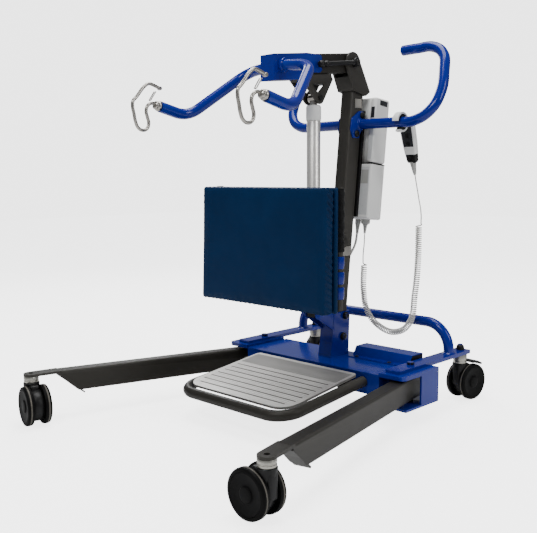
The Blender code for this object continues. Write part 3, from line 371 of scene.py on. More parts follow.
def smooth_points(points, spacing):
    """Points at even steps on a smooth curve through the given ones."""
    data = bpy.data.curves.new("guide", "CURVE")
    data.dimensions = "3D"
    data.resolution_u = 32
    spline = data.splines.new("BEZIER")
    spline.bezier_points.add(len(points) - 1)
    for knot, point in zip(spline.bezier_points, points):
        knot.co = point
        knot.handle_left_type = "AUTO"
        knot.handle_right_type = "AUTO"
    guide = link("guide", data)
    graph = bpy.context.evaluated_depsgraph_get()
    fine = bpy.data.meshes.new_from_object(guide.evaluated_get(graph))
    dense = [v.co.copy() for v in fine.vertices]
    bpy.data.meshes.remove(fine)
    bpy.data.objects.remove(guide, do_unlink=True)
    lengths = [0.0]
    for a, b in zip(dense, dense[1:]):
        lengths.append(lengths[-1] + (b - a).length)
    count = max(2, int(lengths[-1] / spacing) + 1)
    run, index = [], 0
    for k in range(count):
        wanted = lengths[-1] * k / (count - 1)
        while index < len(lengths) - 2 and lengths[index + 1] < wanted:
            index += 1
        step = lengths[index + 1] - lengths[index]
        run.append(dense[index].lerp(dense[index + 1], (wanted - lengths[index]) / step if step else 0))
    return run


def smooth_length(points):
    return sum((b - a).length for a, b in zip(points, points[1:]))


# ---- shared measures
MAST_SLOPE, MAST_Y, MAST_Z = 0.1125, 0.291, 0.827
MAST_TURN = Matrix.Rotation(-math.atan(MAST_SLOPE), 4, "X")
LEG_ANGLE = math.radians(13.0)
LEG_LENGTH = 0.7029
PIVOT = Vector((0.2617, 0.207, 0.0))
RAIL_X, REAR_STEM_Y = 0.2645, 0.444


def leg_tip(side):
    """Place of a front caster's stem, at the end of an opened leg."""
    return (side * (PIVOT.x + LEG_LENGTH * math.sin(LEG_ANGLE)), PIVOT.y - LEG_LENGTH * math.cos(LEG_ANGLE))


# ---- camera and light
def camera():
    """Camera at azimuth a and elevation e, with a slight roll."""
    a, e, roll = math.radians(44.383), math.radians(6.718), math.radians(-0.318)
    back = Vector((math.sin(a) * math.cos(e), -math.cos(a) * math.cos(e), math.sin(e)))
    level = Vector((math.cos(a), math.sin(a), 0))
    upright = back.cross(level)
    right = level * math.cos(roll) + upright * math.sin(roll)
    up = upright * math.cos(roll) - level * math.sin(roll)
    data = bpy.data.cameras.new("camera")
    data.lens = 52.36
    data.sensor_width = 36.0
    data.clip_start = 0.05
    data.clip_end = 50
    cam = link("camera", data)
    turn = Matrix((right, up, back)).transposed().to_4x4()
    cam.matrix_world = Matrix.Translation((1.369, -1.441, 0.624)) @ turn
    bpy.context.scene.camera = cam


def area_light(name, place, aim, size, power):
    """Soft rectangular light aimed at a height above the frame's middle."""
    data = bpy.data.lights.new(name, "AREA")
    data.shape = "RECTANGLE"
    data.size, data.size_y = size
    data.energy = power
    obj = link(name, data)
    obj.location = place
    obj.rotation_euler = (Vector((0, 0, aim)) - Vector(place)).to_track_quat("-Z", "Y").to_euler()


def seen_apart(tree, plain, seen, output):
    """Show one shader to camera rays and another to every other ray."""
    paths = add_node(tree, "ShaderNodeLightPath")
    mix = add_node(tree, "ShaderNodeMixShader")
    tree.links.new(paths.outputs["Is Camera Ray"], mix.inputs[0])
    tree.links.new(plain, mix.inputs[1])
    tree.links.new(seen, mix.inputs[2])
    tree.links.new(mix.outputs["Shader"], output.inputs["Surface"])


def studio():
    world = bpy.data.worlds.new("studio")
    bpy.context.scene.world = world
    world.use_nodes = True
    tree = world.node_tree
    soft = tree.nodes["Background"]
    soft.inputs["Color"].default_value = (0.95, 0.97, 1.0, 1)
    soft.inputs["Strength"].default_value = 0.30
    seen = add_node(tree, "ShaderNodeBackground", Strength=4.2)
    seen_apart(tree, soft.outputs["Background"], seen.outputs["Background"], tree.nodes["World Output"])
    area_light("key", (0.6, -2.4, 2.9), 0.5, (1.4, 0.8), 48)
    area_light("side", (2.7, 0.6, 1.9), 0.5, (0.7, 1.6), 26)
    area_light("top", (-0.2, 0.2, 3.0), 0.4, (1.8, 1.8), 75)
    area_light("rim", (-2.2, 1.2, 2.0), 0.6, (0.8, 1.6), 30)
    bm = bmesh.new()
    bmesh.ops.create_grid(bm, x_segments=1, y_segments=1, size=9.0)
    floor = from_bm(bm)
    floor.name = "floor"
    floor.location.z = -0.0005
    made, tree, shader = nodes_of("pale_floor")
    shader.inputs["Base Color"].default_value = (0.9, 0.9, 0.9, 1)
    shader.inputs["Roughness"].default_value = 0.7
    shader.inputs["Specular IOR Level"].default_value = 0.1
    glow = add_node(tree, "ShaderNodeEmission", Strength=3.2)
    both = add_node(tree, "ShaderNodeAddShader")
    tree.links.new(shader.outputs["BSDF"], both.inputs[0])
    tree.links.new(glow.outputs["Emission"], both.inputs[1])
    seen_apart(tree, shader.outputs["BSDF"], both.outputs["Shader"], tree.nodes["Material Output"])
    floor.data.materials.append(made)


# ---- cords
HANDSET_TOP = Vector((0.155, 0.3336, 0.7480))
HANDSET_AXIS = Vector((0.0, 0.2942, -0.9557)).normalized()
HANDSET_LENGTH = 0.0973


def coil_of(axis, radius, pitch, per_turn):
    """Helix about an axis, whose winding starts and stops gently so that its ends run along the axis."""
    side = Vector((0, 1, 0))
    ease = 0.016
    total = smooth_length(axis)
    count = int(total / pitch * per_turn)
    helix, angle = [], 0.0
    for k in range(count + 1):
        t = k / count
        index = min(len(axis) - 2, int(t * (len(axis) - 1)))
        tangent = (axis[index + 1] - axis[index]).normalized()
        across = tangent.cross(side).normalized()
        helix.append(axis[index] + (across * math.cos(angle) + side * math.sin(angle)) * radius)
        near_end = min(t, 1 - t) * total / ease
        rate = 1.0 if near_end > 1 else near_end * near_end * (3 - 2 * near_end)
        angle += 2 * math.pi / per_turn * rate
    return helix


def curly_cord():
    """One spline: straight lead from the plug, the curly stretch, straight lead to the handset."""
    cord_y = 0.344
    coil = mm((188.7, 493), (188.7, 460), (188.1, 389.2), (179.4, 292.4), (164, 216), (121, 185), (63.8, 193),
              (20, 231.1), (6.5, 280), (6, 372.9))
    axis = smooth_points([Vector((x, cord_y, z)) for x, z in coil], 0.0004)
    wire = 0.0034
    helix = coil_of(axis, 0.0090 - wire / 2, 0.0056, 16)[1:]
    nose = HANDSET_TOP + HANDSET_AXIS * (HANDSET_LENGTH + 0.035)
    plug_foot = Vector((0.0163, 0.3320, 0.4560))
    start, stop = helix[0], helix[-1]
    out, back = (axis[0] - axis[9]).normalized(), (axis[-1] - axis[-10]).normalized()
    upper = smooth_points([nose + HANDSET_AXIS * 0.0006, nose + HANDSET_AXIS * 0.016,
                           Vector((0.170, 0.369, 0.562)), start + out * 0.020, start + out * 0.0008], 0.003)
    lower = smooth_points([stop + back * 0.0008, stop + back * 0.020, plug_foot - Vector((0, 0.001, 0.024)),
                           plug_foot - Vector((0, 0, 0.0006))], 0.003)
    run = list(reversed(upper + helix + lower))
    cord = curve_object(run, wire / 2, 3)
    put(cord, "curly_cord", CORD, "chassis", ["cord_lead_upper", "cord_coil", "cord_lead_lower"])
    plug = lathe(mm((0, 0), (2.6, 0), (3.2, 1), (4, 8), (3.8, 8.5), (4.8, 14), (4.6, 14.5), (5.8, 20),
                    (5.6, 20.5), (7.2, 25), (12.4, 29), (13, 30.5), (13, 40), (12.4, 41.2), (9.4, 41.6),
                    (9.4, 45), (0, 45.5)), plug_foot, plug_foot + Vector((0, 0.0045, 0.0445)), 32)
    put(plug, "handset_plug_relief", GREY_PLASTIC, "chassis", ["handset_plug"])
    stub = Vector((-0.0105, 0.3320, 0.4560))
    route = smooth_points([stub + Vector((0, 0, 0.002)), stub - Vector((0.004, 0.003, 0.03)),
                           (-0.0275, 0.312, 0.380), (-0.0320, 0.288, 0.290), (-0.0285, 0.280, 0.215),
                           (-0.0272, 0.2720, 0.175), (-0.0266, 0.2560, 0.168)], 0.004)
    cable = curve_object(route, 0.0034, 4)
    put(cable, "actuator_lead", CORD, "chassis", ["actuator_cable"])
    lead_plug = lathe(mm((0, 0), (4, 0), (4.4, 6), (4.2, 6.6), (5.2, 14), (5, 14.6), (6.8, 24), (8, 27),
                         (8.2, 44), (7.8, 45.2), (0, 45.2)), stub, stub + Vector((0, 0.0044, 0.0440)), 28)
    put(lead_plug, "actuator_plug", GREY_PLASTIC, "chassis")


# ---- painted tubes
def dome_nut(place, normal, radius, height, name, body="chassis"):
    r, h = radius, height
    profile = [(0.0, 0.0), (r, 0.0), (r, h * 0.25), (r * 0.92, h * 0.55), (r * 0.7, h * 0.82),
               (r * 0.38, h * 0.97), (0.0, h)]
    put(lathe(profile, place, Vector(place) + Vector(normal), 24), name, BLACK_PLASTIC, body)


def hex_head(place, normal, radius, height, name, body="chassis"):
    bm = bmesh.new()
    bmesh.ops.create_cone(bm, cap_ends=True, segments=6, radius1=radius, radius2=radius, depth=height)
    bmesh.ops.translate(bm, vec=(0, 0, height / 2), verts=bm.verts)
    bmesh.ops.bevel(bm, geom=bm.edges[:], offset=height * 0.12, segments=2, profile=0.5, affect="EDGES")
    bmesh.ops.transform(bm, matrix=along(place, Vector(place) + Vector(normal)), verts=bm.verts)
    put(from_bm(bm), name, BLACK_PLASTIC, body)


def plate_of(points, x, thickness, radius):
    """Flat plate: an outline of (y, z) points from x on, with eased edges."""
    bm = bmesh.new()
    face = bm.faces.new([bm.verts.new((x, y, z)) for y, z in points])
    grown = bmesh.ops.extrude_face_region(bm, geom=[face])["geom"]
    moved = [v for v in grown if isinstance(v, bmesh.types.BMVert)]
    bmesh.ops.translate(bm, vec=(thickness, 0, 0), verts=moved)
    bmesh.ops.bevel(bm, geom=bm.edges[:], offset=radius, segments=2, profile=0.5, affect="EDGES")
    return from_bm(bm)


def handles():
    points = mm((22.5, 301, 760), (80, 301, 760), (140, 301, 760), (200, 301.5, 762.5), (240, 313, 788),
                (254, 336, 832), (246, 364, 889), (226, 389, 938), (187, 400, 961), (140, 400, 962),
                (92, 400, 961))
    outline = mm((257.5, 745), (268, 722), (294, 722), (319, 775), (316, 796), (295, 796), (262, 775))
    for side, label in SIDES:
        run = smooth_points([(side * x, y, z) for x, y, z in points], 0.005)
        pipe = curve_object(run, 0.0140, 7)
        put(pipe, f"push_handle_{label}", BLUE, "chassis", [f"handle_{label}"])
        plate = plate_of(outline, side * 0.0193, side * 0.0042, 0.0012)
        put(plate, f"handle_plate_{label}", BLUE, "chassis")
        weld = lathe(mm((13.5, 0), (17.2, 0), (16.8, 1.8), (15, 3.4), (13.8, 4)),
                     (side * 0.0234, 0.301, 0.760), (side * 0.0300, 0.301, 0.760), 32)
        put(weld, f"handle_weld_{label}", BLUE, "chassis")
        end = Vector((side * 0.092, 0.400, 0.961))
        cap = lathe(mm((0, 3.5), (6, 3.4), (11.2, 2.2), (13.6, 0.2), (13.6, -2)), end,
                    end - Vector((side, 0, 0)), 32)
        put(cap, f"handle_end_{label}", BLUE, "chassis")
        for index, (y, z) in enumerate(((0.3070, 0.7845), (0.2820, 0.7338))):
            dome_nut((side * 0.0234, y, z), (side, 0, 0), 0.0092, 0.0072, f"handle_nut_{label}_{index}")


def arms_and_hooks():
    hook_path = mm((-248, 796), (-260, 797.2), (-272.2, 789.8), (-276.2, 777), (-272.4, 762), (-269.2, 749),
                   (-274.2, 736.5), (-287.1, 731.5), (-300.8, 737.2), (-307.6, 749.8), (-311.9, 768.2),
                   (-315.8, 788), (-314.6, 798.5), (-303.8, 809.5), (-279, 836.5), (-267, 843.2),
                   (-252.2, 840.8), (-234, 834.5))
    gate_run = mm((-248, 825.8), (-253.5, 818.5), (-262.5, 806.2), (-263.8, 804.4))
    run_dir = Vector((0, -0.967, 0.2545))
    start = Vector((0.0320, -0.0110, 0.8905))
    end = Vector((0.1824, -0.2335, 0.7905))
    for side, label in SIDES:
        points = [start, (0.1086, -0.0041, 0.8845), (0.181, -0.1478, 0.7702), end]
        points = [(side * x, y, z) for x, y, z in points]
        arm = curve_object(rounded(points, (0.052, 0.070), 18), 0.0137, 7)
        put(arm, f"lifting_arm_{label}", BLUE, "boom", [f"arm_{label}"])
        collar = lathe(mm((0, 0), (17.5, 0), (17.8, 1), (17.8, 8.5), (17, 10), (13.8, 10.5)),
                       (side * 0.0232, start.y, start.z), (side * 0.06, start.y, start.z), 36)
        put(collar, f"arm_boss_{label}", BLUE, "boom")
        tip = Vector((side * end.x, end.y, end.z))
        cap = lathe(mm((0, -3), (13.4, -3), (13.6, -1.2), (12.8, -0.2), (0, 0)), tip, tip + run_dir, 32)
        put(cap, f"arm_end_cap_{label}", BLUE, "boom")
        base = tip + run_dir * 0.0002
        ferrule = lathe(mm((0, 0), (10.6, 0.2), (12.4, 2.4), (12.6, 6), (11.2, 9), (10.2, 10.2), (10.8, 11.6),
                           (10.2, 14.6), (6.8, 17.2), (0, 18.2)), base, base + run_dir, 36, 60)
        put(ferrule, f"hook_ferrule_{label}", STAINLESS, f"sling_hook_{label}", [f"hook_{label}"])
        x = side * 0.1815
        path = smooth_points([Vector((x, y, z)) for y, z in hook_path], 0.0022)
        wire = curve_object(path, 0.0041, 6)
        put(wire, f"hook_wire_{label}", STAINLESS, f"sling_hook_{label}")
        eye = lathe(mm((0, -4.8), (4.2, -4.8), (4.8, -3), (4.8, 3), (4.2, 4.8), (0, 4.8)),
                    (x, -0.2340, 0.8345), (x + side, -0.2340, 0.8345), 24)
        put(eye, f"hook_eye_{label}", STAINLESS, f"sling_hook_{label}")
        loop = [(x - 0.0034, y, z) for y, z in gate_run]
        loop += [(x, -0.2650, 0.8030)]
        loop += [(x + 0.0034, y, z) for y, z in reversed(gate_run)]
        gate = curve_object(loop, 0.0014, 4)
        put(gate, f"hook_gate_wire_{label}", STAINLESS, f"hook_gate_{label}", [f"gate_{label}"])


def push_bar():
    foot = 0.1403
    run = rounded([(RAIL_X, 0.384, foot), (RAIL_X, 0.384, 0.2185), (-RAIL_X, 0.384, 0.2185),
                   (-RAIL_X, 0.384, foot)], (0.070, 0.070), 18)
    put(curve_object(run, 0.0140, 7), "rear_bar_tube", BLUE, "chassis", ["rear_push_bar"])
    for side, label in SIDES:
        weld = lathe(mm((13, 4.5), (14.6, 3), (16.8, 1.2), (18, 0)), (side * RAIL_X, 0.384, 0.1401),
                     (side * RAIL_X, 0.384, 0.2), 32)
        put(weld, f"rear_bar_weld_{label}", BLUE, "chassis")


# ---- casters
def casters():
    """Twin-wheel casters; each stem's x and y, the caster's turn and the top of its neck."""
    stems = {"front_left": (*leg_tip(-1), -13.0, 0.1197), "front_right": (*leg_tip(1), 180.0, 0.1197),
             "rear_left": (-RAIL_X, REAR_STEM_Y, 100.0, 0.1297),
             "rear_right": (RAIL_X, REAR_STEM_Y, 82.0, 0.1297)}
    trail, wheel_radius, wheel_offset = 0.027, 0.05, 0.02225
    disc = mm((0, 8.35), (12, 8.15), (15.2, 7.55), (16.4, 6.55), (16.8, 5.35), (18, 5.15), (30, 6.15),
              (40.5, 7.95), (41.2, 7.35), (42, 8.55), (45.5, 8.15), (48.5, 6.55), (49.7, 3.95), (50, 1.8))
    tread = mm((50, 1.8), (50, -1.8))
    back = mm((50, -1.8), (49.8, -5.75), (48.4, -8.45), (44, -8.75), (0, -8.75))
    parts = (("disc", disc, RUBBER), ("tread", tread, TYRE_LINE), ("back", back, RUBBER))
    for label, (x, y, angle, neck_top) in stems.items():
        turn = Matrix.Translation((x, y, 0)) @ Matrix.Rotation(math.radians(angle), 4, "Z")
        body = f"swivel_{label}"
        for tag, side in (("a", -1), ("b", 1)):
            beside = turn @ Matrix.Translation((trail, side * wheel_offset, wheel_radius))
            hub = beside @ Matrix.Rotation(math.radians(-90 * side), 4, "X")
            for part, profile, mat in parts:
                piece = from_bm(lathe_bm(profile, hub, 56), 50)
                put(piece, f"caster_{part}_{label}_{tag}", mat, f"wheel_{label}_{tag}_body",
                    [f"wheel_{label}_{tag}"] if part == "disc" else ())
        axle = turn @ Matrix.Translation((trail, 0, wheel_radius)) @ Matrix.Rotation(math.pi / 2, 4, "X")
        core = lathe_bm(mm((0, -12.6), (38.5, -12.6), (39.8, -11.2), (40, 0), (39.8, 11.2), (38.5, 12.6),
                           (0, 12.6)), axle, 48)
        put(from_bm(core, 50), f"caster_core_{label}", BLACK_PLASTIC, body, [f"caster_{label}"])
        hood = box_bm((-0.0185, -0.0124, 0.042), (0.032, 0.0124, 0.1000), 0.006, turn)
        put(from_bm(hood, 40), f"caster_hood_{label}", BLACK_PLASTIC, body)
        post = lathe_bm(mm((0, 70), (16.5, 70), (19, 90), (20.2, 98.5), (20.2, 102.2), (19.2, 103.5),
                           (0, 103.5)), turn, 36)
        put(from_bm(post), f"caster_post_{label}", BLACK_PLASTIC, body)
        neck = lathe_bm([(0.0, 0.1036), (0.0176, 0.1036), (0.0185, 0.1050), (0.0185, 0.1085),
                         (0.0172, 0.1094), (0.0172, 0.1110), (0.0186, 0.1122), (0.0186, neck_top - 0.0024),
                         (0.0176, neck_top - 0.0004), (0.0, neck_top - 0.0004)], turn, 40)
        put(from_bm(neck), f"caster_bearing_{label}", ZINC, body)
        if label.startswith("rear"):
            side = 1 if label == "rear_left" else -1
            low, high = sorted((-side * 0.010, side * 0.030))
            pedal = box_bm((0.0205, low, 0.1036), (0.0420, high, 0.1086), 0.0018, turn)
            drop = turn @ Matrix.Translation((0.0395, 0, 0.1060)) @ Matrix.Rotation(math.radians(24), 4, "Y")
            pedal = box_bm((0.0, low, -0.0030), (0.0220, high, 0.0030), 0.0018, drop, pedal)
            put(from_bm(pedal, 40), f"brake_pedal_{label}", BLACK_PLASTIC, f"pedal_{label}",
                [f"brake_{label}"])


# ---- knee pad
def stuffed_block(low, high):
    """Block of foam in its cover, before it is filled: a remeshed box a little smaller than the pad."""
    inset = Vector((0.0030, 0.0030, 0.0030))
    pad = rounded_box(low + inset, high - inset, 0.0050, None, 3)
    remesh = pad.modifiers.new("voxels", "REMESH")
    remesh.mode = "VOXEL"
    remesh.voxel_size = 0.0055
    bake(pad)
    return pad


def swell(pad, cap):
    """Fill the cover by cloth simulation, and keep each point within a cap of where it was."""
    start = [v.co.copy() for v in pad.data.vertices]
    cloth = pad.modifiers.new("cover", "CLOTH")
    settings = cloth.settings
    settings.use_pressure = True
    settings.uniform_pressure_force = 4.0
    settings.effector_weights.gravity = 0.0
    settings.tension_stiffness = 40.0
    settings.compression_stiffness = 40.0
    settings.bending_stiffness = 4.0
    cloth.point_cache.frame_start = 1
    cloth.point_cache.frame_end = 20
    scene = bpy.context.scene
    for number in range(1, 21):
        scene.frame_set(number)
    bake(pad)
    scene.frame_set(1)
    for vertex, before in zip(pad.data.vertices, start):
        move = vertex.co - before
        if move.length > cap:
            vertex.co = before + move.normalized() * cap


def dress(pad, low, high):
    """Seams beside the long edges, gathers in the side faces, and a slightly uneven cover."""
    centre = (low + high) / 2
    half = (high - low) / 2
    for vertex in pad.data.vertices:
        p = vertex.co - centre
        ends = (half.x - abs(p.x), half.y - abs(p.y), half.z - abs(p.z))
        nearest = ends.index(min(ends))
        step = Vector((0, 0, 0))
        if nearest != 1:
            across = half.y - abs(p.y)
            seam = math.exp(-((across - 0.0040) / 0.0018) ** 2)
            sign = math.copysign(1, p.x if nearest == 0 else p.z)
            out = Vector((sign, 0, 0)) if nearest == 0 else Vector((0, 0, sign))
            run = p.z if nearest == 0 else p.x
            fade = min(1.0, max(0.0, (across - 0.0045) / 0.005))
            gather = math.sin(run * 400 + p.y * 300 + 2.6 * noise.noise(Vector((run * 9, p.y * 20, 1.0))))
            gather *= 0.8 + noise.noise(Vector((run * 14, 4.0, 1.0)))
            step -= out * (0.0013 * seam)
            step += out * (gather * 0.0023 * fade * (1.0 if nearest == 0 else 0.3))
        else:
            soft = min(1.0, min(half.x - abs(p.x), half.z - abs(p.z)) / 0.03)
            ripple = noise.noise(Vector((p.x * 7, 3.0, p.z * 7))) * 0.0016
            ripple += noise.noise(Vector((p.x * 26, 5.0, p.z * 20))) * 0.0005
            pucker = math.sin(p.x * 240) * 0.0004 * (1 - soft)
            step += Vector((0, math.copysign(1, p.y), 0)) * (ripple * soft + pucker)
        vertex.co += step
        vertex.co.y = min(vertex.co.y, high.y - 0.0002)


def lean(pad, low, high, less_at_top):
    """Thin the pad towards its top, from the rear face."""
    for vertex in pad.data.vertices:
        share = (vertex.co.z - low.z) / (high.z - low.z)
        depth = high.y - low.y
        vertex.co.y = high.y - (high.y - vertex.co.y) * (depth - less_at_top * share) / depth


def knee_pad():
    """Stuffed pad in coated cloth, filled by simulation, with seams and gathered sides."""
    low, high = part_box("knee_pad")
    low, high = Vector(low), Vector(high)
    pad = stuffed_block(low, high)
    swell(pad, 0.0038)
    soft = pad.modifiers.new("soft", "SUBSURF")
    soft.levels = 1
    soft.render_levels = 1
    bake(pad)
    dress(pad, low, high)
    lean(pad, low, high, 0.012)
    pad.data.shade_smooth()
    put(pad, "knee_cushion", VINYL, "knee_rest", ["knee_pad"])


def sleeve_ring(x, y, z, count):
    """Ring of points round a strap's sleeve, drawn in and out by its gathers."""
    ring = []
    for k in range(count):
        a = 2 * math.pi * k / count
        gather = 0.0009 * math.sin(z * 300 + 2.4 * math.sin(a + z * 40))
        rumple = 0.0012 * noise.noise(Vector((math.cos(a) * 2, math.sin(a) * 2, z * 60)))
        radius = 0.0118 + gather + rumple
        ring.append((x + radius * math.cos(a), y + radius * math.sin(a), z))
    return ring


def pad_mount():
    """Guide tubes' collars, gathered strap sleeves and the board behind the pad."""
    collar = mm((10.4, 1.8), (11.2, 2.4), (11.4, 6), (12.4, 12), (12.5, 27), (11.8, 30.5), (10.4, 31.2))
    for side, label in SIDES:
        x, y = side * 0.207, -0.015
        stack = None
        for low in (0.327, 0.3635, 0.400):
            stack = lathe_bm(collar, Matrix.Translation((x, y, low)), 36, stack)
        put(from_bm(stack), f"collar_stack_{label}", BLUE, "knee_rest", [f"pad_collar_{label}"])
        rings = [sleeve_ring(x, y, 0.442 + 0.148 * row / 90, 40) for row in range(91)]
        put(from_bm(skin_of(rings), 70), f"strap_sleeve_{label}", WEBBING, "knee_rest",
            ["pad_backboard"] if side < 0 else ())
        web = rounded_box((min(x, x - side * 0.010), -0.0400, 0.448),
                          (max(x, x - side * 0.010), -0.020, 0.584), 0.002)
        put(web, f"strap_web_{label}", WEBBING, "knee_rest")
    board = rounded_box((-0.218, -0.0417, 0.297), (0.218, -0.0300, 0.593), 0.0052)
    put(board, "pad_back_cloth", VINYL, "knee_rest")
    for index, z in enumerate((0.380, 0.450, 0.520)):
        strap = rounded_box((-0.196, -0.0304, z - 0.0125), (0.196, -0.0288, z + 0.0125), 0.0007)
        put(strap, f"pad_strap_{index}", WEBBING, "knee_rest")


# ---- footplate
def footplate():
    rear, front = Vector((0, 0.098, 0.1213)), Vector((0, -0.171, 0.0870))
    middle = (rear + front) / 2
    slope = math.atan2(rear.z - front.z, rear.y - front.y)
    turn = Matrix.Translation(middle) @ Matrix.Rotation(slope, 4, "X")
    half = (rear - front).length / 2
    run = rounded(mm((186, 108.5, 101.5), (186, -187, 70), (-186, -187, 70), (-186, 108.5, 101.5)),
                  (0.058, 0.058), 16)
    put(curve_object(run, 0.0136, 7), "footplate_tube", BRONZE, "footplate")
    strips, ridges = None, None
    for k in range(7):
        y = -half + 0.0245 + 0.0244 * k
        reach = 0.177 - (0.026 if k == 0 else 0.014)
        low, high = (-reach + 0.0006, y + 0.0003, -0.00148), (reach - 0.0006, y + 0.0037, -0.0009)
        strips = box_bm(low, high, 0.0002, turn, strips, 1)
        for share in (0.30, 0.70):
            line = y + 0.004 + 0.0204 * share
            ridges = box_bm((-reach, line - 0.0007, -0.0006), (reach, line + 0.0007, 0.0004), 0.0003, turn,
                            ridges, 1)
    put(from_bm(strips), "tread_grooves", SEAM, "footplate")
    put(from_bm(ridges), "tread_ridges", TREAD, "footplate")
    band = rounded_box((-0.168, half - 0.078, -0.0008), (0.168, half - 0.012, 0.00035), 0.0003, turn, 1)
    put(band, "tread_rear_band", BAND, "footplate")


# ---- mast fittings
def lift_actuator():
    foot = Vector((0, 0.130, 0))
    up = foot + Vector((0, 0, 1))
    tube = lathe(mm((10.4, 762.8), (17.6, 762.8), (18, 762), (18, 395), (18.8, 393), (19.6, 384),
                    (19.6, 372)), foot, up, 56)
    put(tube, "actuator_tube", ALUMINIUM, "actuator_outer")
    motor = rounded_box((-0.022, 0.056, 0.278), (0.022, 0.100, 0.382), 0.014, None, 5)
    put(motor, "actuator_motor", BLACK_PLASTIC, "actuator_outer", ["actuator_body"])
    housing = rounded_box((-0.020, 0.096, 0.270), (0.020, 0.154, 0.376), 0.008)
    put(housing, "actuator_gearbox", BLACK_PLASTIC, "actuator_outer")
    fork = rounded_box((-0.0150, 0.119, 0.240), (0.0150, 0.141, 0.274), 0.004)
    put(fork, "actuator_fork", BLACK_PLASTIC, "actuator_outer")
    cap = lathe(mm((10.6, 803.6), (16, 803.6), (18.4, 802), (19.7, 798.5), (20, 791.5), (20, 767.2),
                   (19.6, 766), (19, 766), (19, 764.5), (20, 764), (20, 763.2), (10.6, 763.2)), foot, up, 56)
    put(cap, "actuator_collar", WHITE_PLASTIC, "actuator_outer", ["actuator_cap"])
    for side in (-1, 1):
        hex_head((side * 0.0222, 0.130, 0.8214), (side, 0, 0), 0.0075, 0.0045,
                 f"bracket_bolt_{'lr'[side > 0]}", "boom")


def tie_rod():
    x = 0.036
    a, b = Vector((x, 0.140, 0.907)), Vector((x, 0.262, 0.9225))
    shaft = lathe(mm((0, 0), (5.2, 1), (6, 4), (6, 104), (7.2, 106), (7.2, 112), (0, 112)), a, b, 28)
    put(shaft, "tie_rod_shaft", BLACK_PLASTIC, "boom", ["tie_rod"])
    knob = lathe(mm((0, -28.5), (6, -28.2), (8.4, -26.2), (9.2, -22.5), (9.2, -16.5), (8, -13.5), (5.2, -11),
                    (4.6, -9), (6.6, -7), (8.4, -2.5), (8.6, 0.5), (7.6, 4.5), (5.2, 7.5), (0, 8.5)), a, b,
                 32, 60)
    put(knob, "tie_rod_knob", BLACK_PLASTIC, "boom")
    eye = lathe(mm((0, -6), (11.8, -6), (12.5, -5), (12.5, 5), (11.8, 6), (0, 6)), b, b + Vector((1, 0, 0)),
                36)
    put(eye, "tie_rod_eye", BLACK_PLASTIC, "boom")
    dome_nut(b + Vector((0.0060, 0, 0)), (1, 0, 0), 0.0080, 0.0042, "pivot_cap", "boom")


def control_box():
    """Control box and battery with a lid seam, blank labels and a dark latch."""
    base = Matrix.Translation((0, MAST_Y - MAST_SLOPE * MAST_Z, 0)) @ MAST_TURN
    stretch = 1 / math.cos(math.atan(MAST_SLOPE))
    front, rear = 0.0349, 0.0985

    def at(z):
        return z * stretch

    def box(name, low, high, mat, body="chassis", radius=0.0003, replaced=()):
        piece = rounded_box((low[0], low[1], at(low[2])), (high[0], high[1], at(high[2])), radius, base, 4)
        put(piece, name, mat, body, replaced)

    box("control_housing", (-0.058, front, 0.505), (0.058, rear, 0.6584), WHITE_PLASTIC, radius=0.006,
        replaced=["control_box"])
    box("lid_seam", (-0.0572, front + 0.0008, 0.6560), (0.0572, rear - 0.0008, 0.6594), SEAM, radius=0.001)
    box("battery_rail", (-0.025, 0.0262, 0.510), (0.025, front - 0.0006, 0.800), BLACK_PLASTIC, radius=0.001)
    battery = rounded_box((-0.058, front, at(0.6604)), (0.058, rear, at(0.838)), 0.007, base, 4)
    groove = rounded_box((-0.0407, front - 0.01, at(0.640)), (0.0407, front + 0.0101, at(0.860)), 0.001, base,
                         2)
    cut = battery.modifiers.new("groove", "BOOLEAN")
    cut.object = groove
    bake(battery)
    bpy.data.objects.remove(groove)
    put(battery, "battery_housing", WHITE_PLASTIC, "battery", ["battery_pack"])
    box("box_label_right", (0.0230, front - 0.0004, 0.516), (0.0530, front + 0.0004, 0.648), LABEL)
    box("box_label_left", (-0.0530, front - 0.0004, 0.516), (-0.0230, front + 0.0004, 0.648), LABEL)
    box("box_print", (0.0260, front - 0.0006, 0.602), (0.0500, front + 0.0002, 0.640), GREY_PLASTIC)
    box("battery_label", (0.0420, front - 0.0004, 0.670), (0.0545, front + 0.0004, 0.776), LABEL, "battery")
    box("battery_print", (0.0425, front - 0.0004, 0.782), (0.0540, front + 0.0004, 0.812), DARK_PRINT,
        "battery")
    box("battery_latch", (0.0550, 0.052, 0.818), (0.0586, 0.086, 0.832), DARK_PRINT, "battery")
    box("box_keypad", (-0.034, rear - 0.0005, 0.560), (0.034, rear + 0.0006, 0.630), DARK_PRINT)
    box("battery_grip", (-0.030, rear - 0.0005, 0.785), (0.030, rear + 0.0008, 0.815), DARK_PRINT, "battery")
    stop = base @ Vector((0.018, rear, at(0.645)))
    knob = lathe(mm((0, 6), (8, 5.8), (9.4, 4.6), (9.8, 0), (0, 0)), stop,
                 stop + (base.to_3x3() @ Vector((0, 1, 0))), 32)
    put(knob, "stop_button", surface("red_stop", (0.30, 0.008, 0.008), 0.35, tone=0.1, grain=0.08), "chassis")
    for k in range(6):
        z = 0.668 + 0.0045 * k
        box(f"battery_rib_{k}", (-0.045, rear - 0.0005, z), (0.045, rear + 0.0008, z + 0.0018), GREY_PLASTIC,
            "battery")


def handset_section(matrix, z, half_x, half_y, corner, steps=5):
    """Ring of points round a rounded rectangle."""
    ring = []
    for turn, (cx, cy) in enumerate(((1, 1), (-1, 1), (-1, -1), (1, -1))):
        for k in range(steps + 1):
            a = math.pi / 2 * (turn + k / steps)
            ring.append(matrix @ Vector((cx * (half_x - corner) + corner * math.cos(a),
                                         cy * (half_y - corner) + corner * math.sin(a), z)))
    return ring


